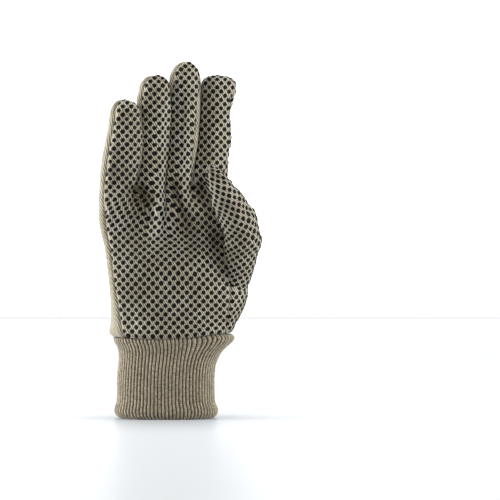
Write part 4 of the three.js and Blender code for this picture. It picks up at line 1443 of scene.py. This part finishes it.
@dataclass(frozen=True)
class VinylPrint:
    """Soft black vinyl, printed on as a paste and cured: dull, with a low highlight on each dot."""

    # To the eye: near-black domes, a little paler where lint clings, with a broad faint highlight.
    name: str
    colour: str = "#0b0907"
    dusty: str = "#14110d"

    def make(self) -> bpy.types.Material:
        """Makes it: black with a little lint, and a fine uneven skin.

        Returns:
            The material.
        """
        material, surface = new_material(self.name)
        add = partial(add_node, material)
        # In metres: lint a little over 1 mm long.
        lint = add("TexNoise", {"Vector": add("TexCoord", out="Object"), "Scale": 900.0, "Detail": 4.0})
        dust = add("MapRange", lint, 0.4, 0.75, interpolation_type="SMOOTHSTEP")
        colour = add("Mix", {0: dust, 6: linear(self.colour), 7: linear(self.dusty)}, out=2, data_type="RGBA")
        rough = add("MapRange", lint, {3: 0.5, 4: 0.7})
        bump = add("Bump", {"Height": lint, "Distance": 0.00004, "Strength": 0.6})
        feed(surface, {"Base Color": colour, "Roughness": rough, "Normal": bump, "IOR": 1.45,
                       "Specular IOR Level": 0.12})
        return material


@dataclass(frozen=True)
class StudioPaper:
    """Pale, slightly glossy studio floor that glows with painted light, darker at the front, with a painted shadow
    near what stands on it.
    """

    # To the eye: a white floor with a soft reflection and a soft shade around what stands on it, partly cast by the
    # lights and partly a painted shadow in its glow.
    name: str
    colour: str = "#8f949a"
    painted_light_colour: str = "#fbfdff"
    # How strongly its painted light glows at the front and at the back, whose places are in metres
    front: float = -0.7
    back: float = 1.6
    front_painted_light: float = 0.56
    back_painted_light: float = 0.74
    gloss: float = 0.28
    # How far in metres the painted shadow reaches around what stands on it
    painted_shadow_within: float = 0.16

    def make(self) -> bpy.types.Material:
        """Makes it, with the faintest unevenness in its gloss.

        Returns:
            The material.
        """
        material, surface = new_material(self.name)
        add = partial(add_node, material)
        place = add("TexCoord", out="Object")
        haze = add("TexNoise", {"Vector": place, "Scale": 3.0, "Detail": 3.0})
        rough = add("MapRange", haze, {3: 0.3, 4: 0.36})
        # Painted light: the floor glows, less at the front than at the back.
        depth = add("SeparateXYZ", place, out="Y")
        painted_glow = add("MapRange", depth, self.front, self.back, self.front_painted_light, self.back_painted_light)
        # Painted shadow: the painted glow is dimmer close to what stands on the floor.
        near = add("AmbientOcclusion", {"Distance": self.painted_shadow_within}, out="AO", samples=8)
        near = add("MapRange", near, 0.7, 1.0, 0.3, 1.0)
        painted_glow = add("Math", painted_glow, near, operation="MULTIPLY")
        feed(surface, {"Base Color": linear(self.colour), "Specular IOR Level": 0.0, "Emission Strength": painted_glow,
                       "Emission Color": linear(self.painted_light_colour)})
        shine = add("BsdfAnisotropic", {"Color": linear("#ffffff"), "Roughness": rough})
        both = add("MixShader", self.gloss, surface.outputs[0], shine)
        feed(material.node_tree.nodes["Material Output"], {"Surface": both})
        return material


@dataclass(frozen=True)
class LitScreen:
    """White backdrop cloth that glows evenly."""

    # To the eye: plain white with no edge or shade.
    name: str
    colour: str = "#f4f4f4"
    strength: float = 1.15

    def make(self) -> bpy.types.Material:
        """Makes it: even white light.

        Returns:
            The material.
        """
        material, surface = new_material(self.name)
        feed(surface, {"Base Color": linear(self.colour), "Emission Color": linear("#ffffff"),
                       "Emission Strength": self.strength, "Roughness": 1.0})
        return material


def make_object(name: str, points: np.ndarray, faces: list, cloth: np.ndarray | None,
                material: bpy.types.Material) -> bpy.types.Object:
    """A smooth mesh object.

    Args:
        name: The piece's name.
        points: Places in mm.
        faces: Vertex numbers of each face.
        cloth: Places in the flat cloth in mm for each corner of each face, or None.
        material: Its material.

    Returns:
        The object, linked to the scene.
    """
    mesh = bpy.data.meshes.new(name)
    mesh.from_pydata((points * MM).tolist(), [], faces)
    if cloth is not None:
        layer = mesh.uv_layers.new(name="cloth")
        layer.data.foreach_set("uv", np.ascontiguousarray(cloth, dtype=np.float32).ravel())
    mesh.materials.append(material)
    mesh.polygons.foreach_set("use_smooth", [True] * len(mesh.polygons))
    mesh.update()
    made = bpy.data.objects.new(name, mesh)
    bpy.context.scene.collection.objects.link(made)
    return made


def cloth_piece(name: str, points: np.ndarray, normals: np.ndarray, painted_shading: np.ndarray, patches: list[Patch],
                material: bpy.types.Material) -> bpy.types.Object:
    """A panel with its real thickness: outer faces, inner faces and walls round the rim.

    Args:
        name: The piece's name.
        points: The skin's outer places in mm.
        normals: Directions out of the skin.
        painted_shading: How much painted shade the cloth gets at each place, from -1, painted light, to 1.
        patches: The panel's grids.
        material: Its material.

    Returns:
        The object.
    """
    both = [patch.quads() for patch in patches]
    quads = np.concatenate([numbers for numbers, _ in both])
    cloth = np.concatenate([places for _, places in both])
    used, compact = np.unique(quads, return_inverse=True)
    quads = compact.reshape(quads.shape)
    count = len(used)
    outer = points[used]
    inner = outer - normals[used] * CLOTH_THICKNESS
    faces, corners = [], []
    edges: dict[tuple[int, int], tuple[np.ndarray, np.ndarray]] = {}
    for quad, places in zip(quads.tolist(), cloth):
        kept = [i for i in range(4) if quad[i] != quad[i - 1]]
        if len(kept) < 3:
            continue
        ring, marks = [quad[i] for i in kept], places[kept]
        faces.append(ring)
        corners.append(marks)
        faces.append([i + count for i in ring[::-1]])
        corners.append(marks[::-1])
        for i, start in enumerate(ring):
            end = ring[(i + 1) % len(ring)]
            edges[start, end] = (marks[i], marks[(i + 1) % len(ring)])
    for (start, end), (mark, next_mark) in edges.items():
        if (end, start) not in edges:
            faces.append([end, start, start + count, end + count])
            corners.append(np.array([next_mark, mark, mark, next_mark]))
    piece = make_object(name, np.concatenate([outer, inner]), faces, np.concatenate(corners), material)
    # The painted shade and light, kept for the material.
    held = piece.data.attributes.new("painted_shading", "FLOAT", "POINT")
    held.data.foreach_set("value", np.concatenate([painted_shading[used], painted_shading[used]]).astype(np.float32))
    return piece


class FlatCloth:
    """A patch laid flat, to find the skin over any place of the cut."""

    def __init__(self, patch: Patch, points: np.ndarray, normals: np.ndarray) -> None:
        """Lays the patch flat.

        Args:
            patch: The patch.
            points: The whole skin's places.
            normals: Directions out of it.
        """
        numbers, cloth = patch.quads()
        self.points, self.normals = points, normals
        flat = np.concatenate([cloth.reshape(-1, 2), np.zeros((cloth.shape[0] * 4, 1))], axis=1)
        quads = np.arange(len(flat)).reshape(-1, 4)
        self.flat = flat
        self.triangles = np.concatenate([quads[:, [0, 1, 2]], quads[:, [0, 2, 3]]])
        self.owners = np.concatenate([numbers[:, [0, 1, 2]], numbers[:, [0, 2, 3]]])
        self.tree = BVHTree.FromPolygons([Vector(p) for p in flat], self.triangles.tolist())
        self.low, self.high = flat[:, :2].min(axis=0), flat[:, :2].max(axis=0)

    def at(self, u: float, v: float) -> Found | None:
        """What lies under a place of the flat cloth.

        Args:
            u: The place across the cloth.
            v: The place along it.

        Returns:
            The place, direction and nearest skin point, or None where there is no cloth.
        """
        hit, _, index, _ = self.tree.ray_cast(Vector((u, v, 1.0)), Vector((0, 0, -1.0)), 2.0)
        if hit is None:
            return None
        a, b, c = self.flat[self.triangles[index], :2]
        ab, ac, ap = b - a, c - a, np.array([u, v]) - a
        area = ab[0] * ac[1] - ab[1] * ac[0]
        if abs(area) < 1e-9:
            return None
        t = (ap[0] * ac[1] - ap[1] * ac[0]) / area
        s = (ab[0] * ap[1] - ab[1] * ap[0]) / area
        weights = np.array([1 - s - t, t, s])
        owner = self.owners[index]
        return weights @ self.points[owner], weights @ self.normals[owner], int(owner[np.argmax(weights)])


@dataclass
class DotPrint:
    """The lattice of vinyl dots over a panel: columns of dots, every second one shifted half a step. In mm."""

    radius: float = 1.68
    rise: float = 0.42
    column_step: float = 3.08
    row_step: float = 6.16
    shift: float = 0.0
    # The lattice starts so that the last row meets the cuff's seam.
    lowest: float = -1.3
    sides: int = 12
    # Each ring's share of the radius and its height over the cloth in mm
    profile: tuple[tuple[float, float], ...] = ((1.0, -0.12), (0.96, 0.2), (0.8, 0.36), (0.42, 0.42))
    # A dot's middle is at least this far out of the other skin, in mm
    least_clear: float = 0.1
    # How unequal the dots are, the shares to which a rim is cut back at a seam, and how narrow or wide, as shares
    # of its real width, a dot may come out over uneven cloth
    unequal: float = 0.07
    cut_back: tuple[float, ...] = (1.0, 0.75, 0.5, 0.3)
    narrowest: float = 0.25
    widest: float = 2.2
    points: list = field(default_factory=list)
    faces: list = field(default_factory=list)

    def cover(self, patches: list[Patch], points: np.ndarray, normals: np.ndarray, clear: np.ndarray,
              margin: float = 0.4) -> None:
        """Prints dots on a panel's patches.

        Args:
            patches: The patches. Where one ends, a dot may go on over the next.
            points: The skin's places in mm.
            normals: Directions out of the skin.
            clear: For each skin point, its distance out of what hides the cloth.
            margin: How near a seam a dot's middle may be.
        """
        flats = [FlatCloth(patch, points, normals) for patch in patches]
        for flat in flats:
            order = [flat, *(other for other in flats if other is not flat)]

            def on_skin(u: float, v: float, near: np.ndarray) -> Found | None:
                """What lies under a place of the flat cloth, on a patch where that is near."""
                found = (cloth.at(u, v) for cloth in order)
                return next((f for f in found if f and np.linalg.norm(f[0] - near) < 2 * self.radius), None)

            first, last = flat.low[0] / self.column_step, flat.high[0] / self.column_step
            for i in range(math.floor(first), math.ceil(last) + 1):
                u = (i + self.shift) * self.column_step
                start = self.lowest + (i % 2) * self.row_step / 2
                bottom, top = (flat.low[1] - start) / self.row_step, (flat.high[1] - start) / self.row_step
                for j in range(math.floor(bottom), math.ceil(top) + 1):
                    v = start + j * self.row_step
                    centre = flat.at(u, v)
                    if centre is None or clear[centre[2]] < self.least_clear:
                        continue
                    if on_skin(u - margin, v, centre[0]) and on_skin(u + margin, v, centre[0]):
                        self._stamp(on_skin, u, v, centre)

    def _stamp(self, on_skin: Callable[[float, float, np.ndarray], Found | None], u: float, v: float,
               centre: Found) -> None:
        """Adds one dot, its rim following the cloth under it.

        Args:
            on_skin: Finds the skin under a place of the flat cloth, near another place.
            u: The dot's place across the flat cloth.
            v: Its place along it.
            centre: The skin under its middle.
        """
        place, normal, _ = centre
        first = len(self.points)
        # No two dots are quite the same; the two factors only spread the lattice's places over the sine.
        wobble = 1 + self.unequal * math.sin(12.9 * u + 7.7 * v)
        rings = []
        for share, height in self.profile:
            for k in range(self.sides):
                turn = 2 * np.pi * k / self.sides
                reach = share * self.radius * wobble
                du, dv = reach * math.cos(turn), reach * math.sin(turn)
                # A dot is cut short where its cloth ends at a seam.
                cuts = (on_skin(u + du * cut, v + dv * cut, place) for cut in self.cut_back)
                under = next((found for found in cuts if found), centre)
                rings.append(under[0] + under[1] * height)
        rim = np.array(rings[: self.sides])
        half = self.sides // 2
        spans = np.linalg.norm(rim[:half] - rim[half:], axis=1) / (2 * self.radius)
        if spans.max() > self.widest or spans.min() < self.narrowest:
            return
        self.points += [*rings, place + normal * self.rise]
        for ring in range(len(self.profile) - 1):
            for k in range(self.sides):
                a, b = first + ring * self.sides + k, first + ring * self.sides + (k + 1) % self.sides
                self.faces.append([a, b, b + self.sides, a + self.sides])
        top = first + (len(self.profile) - 1) * self.sides
        for k in range(self.sides):
            self.faces.append([top + k, top + (k + 1) % self.sides, len(self.points) - 1])

    def make(self, name: str, material: bpy.types.Material) -> bpy.types.Object:
        """The dots so far as one piece."""
        return make_object(name, np.array(self.points), self.faces, None, material)


@dataclass(frozen=True)
class Cut:
    """A piece's flat cut in metres, its area in square metres, and its material slot."""

    width: float
    length: float
    area: float
    slot: str
    dotted: bool = False


CUTS = {
    "palm_panel": Cut(0.108, 0.206, 0.0185, "dotted_cotton", True),
    "forefinger_back_panel": Cut(0.062, 0.192, 0.0092, "dotted_cotton", True),
    "middle_back_panel": Cut(0.05, 0.202, 0.0078, "cotton_twill"),
    "outer_back_panel": Cut(0.092, 0.192, 0.0125, "cotton_twill"),
    "thumb": Cut(0.082, 0.1, 0.0066, "dotted_cotton", True),
}


@dataclass
class ClothHand:
    """The glove's cloth: four panels and the thumb, with the dots printed on three of them."""

    form: GloveForm
    print_finish: VinylPrint = VinylPrint("black vinyl print, cured paste")
    finishes: tuple[Twill, Twill] = (
        Twill("dotted cotton twill, woven"),
        Twill("plain cotton twill, woven"),
    )

    def build(self) -> None:
        """Makes the skins and sews the thumb in."""
        self.hand = HandSkin(self.form)
        self.thumb = ThumbSkin(self.form)
        self.clear_of_thumb, self.clear_of_hand = join_thumb(self.hand, self.thumb)

    def dress(self) -> None:
        """Makes each panel and its dots, and logs their faces."""
        dotted, plain = (finish.make() for finish in self.finishes)
        vinyl = self.print_finish.make()
        for name, cut in CUTS.items():
            skin = self.thumb if name == "thumb" else self.hand
            clear = self.clear_of_hand if name == "thumb" else self.clear_of_thumb
            patches = [patch for patch in skin.patches if patch.panel == name]
            piece = cloth_piece(f"{name}_cloth", skin.points, skin.normals, skin.painted_shading, patches,
                                dotted if cut.dotted else plain)
            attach(piece, "root")
            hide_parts(name)
            extras = []
            if cut.dotted:
                dots = DotPrint(shift=0.5 if name == "forefinger_back_panel" else 0.0)
                dots.cover(patches, skin.points, skin.normals, clear)
                extras.append(dots.make(f"{name}_dots", vinyl))
                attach(extras[0], "root")
            LOG.info("%s: %d faces, %d faces of dots", name, len(piece.data.polygons),
                     sum(len(extra.data.polygons) for extra in extras))


@dataclass
class KnitCuff:
    """The ribbed wrist: round ribs with narrow grooves, which waver a little and fan out at the hand."""

    form: GloveForm
    finish: HeatherKnit = HeatherKnit("heather rib knit, knitted tube")
    # The groove between two ribs: its depth in mm, its width as a share of a rib, how uneven its depth is
    groove: float = 1.1
    groove_width: float = 0.17
    groove_uneven: float = 0.25
    # Rows lie closer together at the curled hem
    row_power: float = 1.15
    # How far in mm the edges at the hem and at the hand turn in, and how far up or down that reaches
    hem_turn: float = 1.0
    top_turn: float = 1.3
    turn_reach: float = 1.6
    # How far the inner face lies behind the ribs' ground, in mm, and what the turned edges take off it
    backing: float = 1.1
    edge_thinner: float = 0.6
    cut: Cut = Cut(0.2, 0.062, 0.0118, "rib_knit")

    def build(self) -> None:
        """Makes the outer and inner grids of the tube."""
        columns = RIB_COUNT * COLUMNS_PER_RIB
        up = (np.arange(CUFF_ROWS + 1) / CUFF_ROWS) ** self.row_power
        ribs = np.arange(columns) / COLUMNS_PER_RIB
        angle = self._even_angles(ribs / RIB_COUNT)
        height = up[:, None] * CUFF_HEIGHT
        ring = self.form.cuff(up, angle[None, :] + 0 * height, 0 * height * angle[None, :])
        # The ribs waver by small angles and their grooves are uneven, each by bumps of the sizes given in mm.
        wavering = angle[None, :] + uneven(ring, (0.006, (9, 9, 24)), (0.003, (5, 5, 9)))
        edge = 0.5 - np.abs((ribs % 1) - 0.5)[None, :]
        depth = self.groove * (1 + uneven(ring, (self.groove_uneven, (3, 3, 14))))
        profile = uneven(ring, (0.18, 11), (0.1, (3.5, 3.5, 2.2))) - depth * hill(edge, self.groove_width)
        turned_in = self.hem_turn * hill(height, self.turn_reach)
        turned_in = turned_in + self.top_turn * hill(height - CUFF_HEIGHT, self.turn_reach)
        behind = KNIT_THICKNESS + self.backing - self.edge_thinner * turned_in
        self.outer = self.form.cuff(up, wavering, profile - turned_in)
        self.inner = self.form.cuff(up, wavering, -behind + 0 * profile)
        for face in (self.outer, self.inner):
            face[..., 2] += hem_lift(face)
        pitch = np.linalg.norm(np.diff(ring[CUFF_ROWS // 2], axis=0), axis=-1).sum() / RIB_COUNT
        self.pitch = float(pitch)
        across = np.append(ribs, RIB_COUNT) * self.pitch
        self.cloth = np.stack(np.broadcast_arrays(across[None, :], height), axis=-1)

    def _even_angles(self, shares: np.ndarray) -> np.ndarray:
        """Angles at even distances around the cuff's middle section.

        Args:
            shares: Shares of the way round.

        Returns:
            Radians.
        """
        fine = np.linspace(0, 2 * np.pi, 1441)
        ring = self.form.cuff(np.array([0.5]), fine[None, :], np.zeros((1, len(fine))))[0]
        arcs = np.concatenate([[0.0], np.cumsum(np.linalg.norm(np.diff(ring, axis=0), axis=-1))])
        return np.interp(shares, arcs / arcs[-1], fine)

    def dress(self) -> None:
        """Joins the grids to one tube and logs its faces and rib pitch."""
        rows, columns = self.outer.shape[:2]
        numbers = np.arange(rows * columns).reshape(rows, columns)
        numbers = np.concatenate([numbers, numbers[:, :1]], axis=1)
        count = rows * columns
        faces, corners = [], []
        for r in range(rows - 1):
            for c in range(columns):
                quad = [(r, c), (r, c + 1), (r + 1, c + 1), (r + 1, c)]
                ring = [int(numbers[place]) for place in quad]
                marks = [self.cloth[place] for place in quad]
                faces += [ring, [n + count for n in ring[::-1]]]
                corners += [*marks, *marks[::-1]]
        # The two edges between the outer and the inner faces
        for c in range(columns):
            for r, turned in ((0, False), (rows - 1, True)):
                start, end = int(numbers[r, c]), int(numbers[r, c + 1])
                ring = [end, start, start + count, end + count]
                marks = [self.cloth[r, c + 1], self.cloth[r, c], self.cloth[r, c], self.cloth[r, c + 1]]
                faces.append(ring[::-1] if turned else ring)
                corners += marks[::-1] if turned else marks
        points = np.concatenate([self.outer.reshape(-1, 3), self.inner.reshape(-1, 3)])
        piece = make_object("knit_cuff_ribs", points, faces, np.array(corners), self.finish.make(self.pitch))
        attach(piece, "root")
        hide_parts("knit_cuff")
        LOG.info("knit_cuff: %d faces, ribs %.2f mm apart", len(faces), self.pitch)


@dataclass(frozen=True)
class Softbox:
    """A soft light: where it hangs, its size in metres, its power in watts."""

    name: str
    place: tuple[float, float, float]
    width: float
    height: float
    watts: float


@dataclass
class Studio:
    """The pale floor, soft lights and camera."""

    paper: StudioPaper = StudioPaper("pale studio floor, faint gloss, painted glow and shadow")
    screen: LitScreen = LitScreen("white backdrop, lit from behind")
    # The picture is 365 mm wide at the glove, seen level from 2 m away.
    target: tuple[float, float, float] = (0.061, 0.0, 0.1226)
    distance: float = 2.0
    elevation: float = 0.0
    picture_width: float = 0.365
    sensor_mm: float = 36.0
    # The floor's half width, its front and back edges and the backdrop's height in mm
    half_width: float = 3000.0
    front: float = -750.0
    back: float = 3000.0
    wall_height: float = 3500.0
    # The middle of the glove, at which the lights are aimed, and the strength of the white surroundings
    aim: tuple[float, float, float] = (0.01, 0.0, 0.12)
    surroundings: float = 0.06
    boxes: tuple[Softbox, ...] = (
        Softbox("left softbox", (-0.8, -0.05, 0.25), 0.4, 1.0, 17.0),
        Softbox("right softbox", (0.85, -0.12, 0.38), 0.3, 0.7, 9.5),
        Softbox("top softbox", (0.05, 0.0, 0.95), 0.9, 0.4, 2.5),
        Softbox("high front fill", (-0.15, -0.8, 1.1), 0.6, 0.5, 5.8),
    )

    def build(self) -> None:
        """Makes the floor, the lights, the white surroundings and the camera."""
        bpy.context.scene.view_settings.view_transform = "Standard"
        points = np.array([(-self.half_width, self.front, 0), (self.half_width, self.front, 0),
                           (self.half_width, self.back, 0), (-self.half_width, self.back, 0)])
        floor = make_object("studio_floor", points, [[0, 1, 2, 3]], None, self.paper.make())
        wall = points[[3, 2]]
        wall = np.concatenate([wall, wall[::-1] + (0, 0, self.wall_height)])
        backdrop = make_object("studio_backdrop", wall, [[0, 1, 2, 3]], None, self.screen.make())
        for box in self.boxes:
            light = bpy.data.lights.new(box.name, "AREA")
            light.shape = "RECTANGLE"
            light.size, light.size_y, light.energy = box.width, box.height, box.watts
            lamp = bpy.data.objects.new(box.name, light)
            lamp.location = box.place
            beam = Vector(self.aim) - Vector(box.place)
            lamp.rotation_euler = beam.to_track_quat("-Z", "Y").to_euler()
            bpy.context.scene.collection.objects.link(lamp)
        world = bpy.data.worlds.new("white surroundings")
        bpy.context.scene.world = world
        world.use_nodes = True
        feed(world.node_tree.nodes["Background"], {"Color": linear("#ffffff"), "Strength": self.surroundings})
        self._place_camera()

    def _place_camera(self) -> None:
        """Puts the camera where the picture was taken from."""
        data = bpy.data.cameras.new("camera")
        data.sensor_width = self.sensor_mm
        data.lens = self.sensor_mm * self.distance / self.picture_width
        camera = bpy.data.objects.new("camera", data)
        tilt = math.radians(self.elevation)
        away = Vector((0, -math.cos(tilt), math.sin(tilt))) * self.distance
        camera.location = Vector(self.target) + away
        camera.rotation_euler = (-away).to_track_quat("-Z", "Y").to_euler()
        bpy.context.scene.collection.objects.link(camera)
        bpy.context.scene.camera = camera


def main() -> None:
    """Builds the looks of the whole glove and the studio around it."""
    logging.basicConfig(level=logging.INFO, format="%(message)s")
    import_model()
    Studio().build()
    form = GloveForm()
    for part in (ClothHand(form), KnitCuff(form)):
        part.build()
        part.dress()


if __name__ == "__main__":
    main()
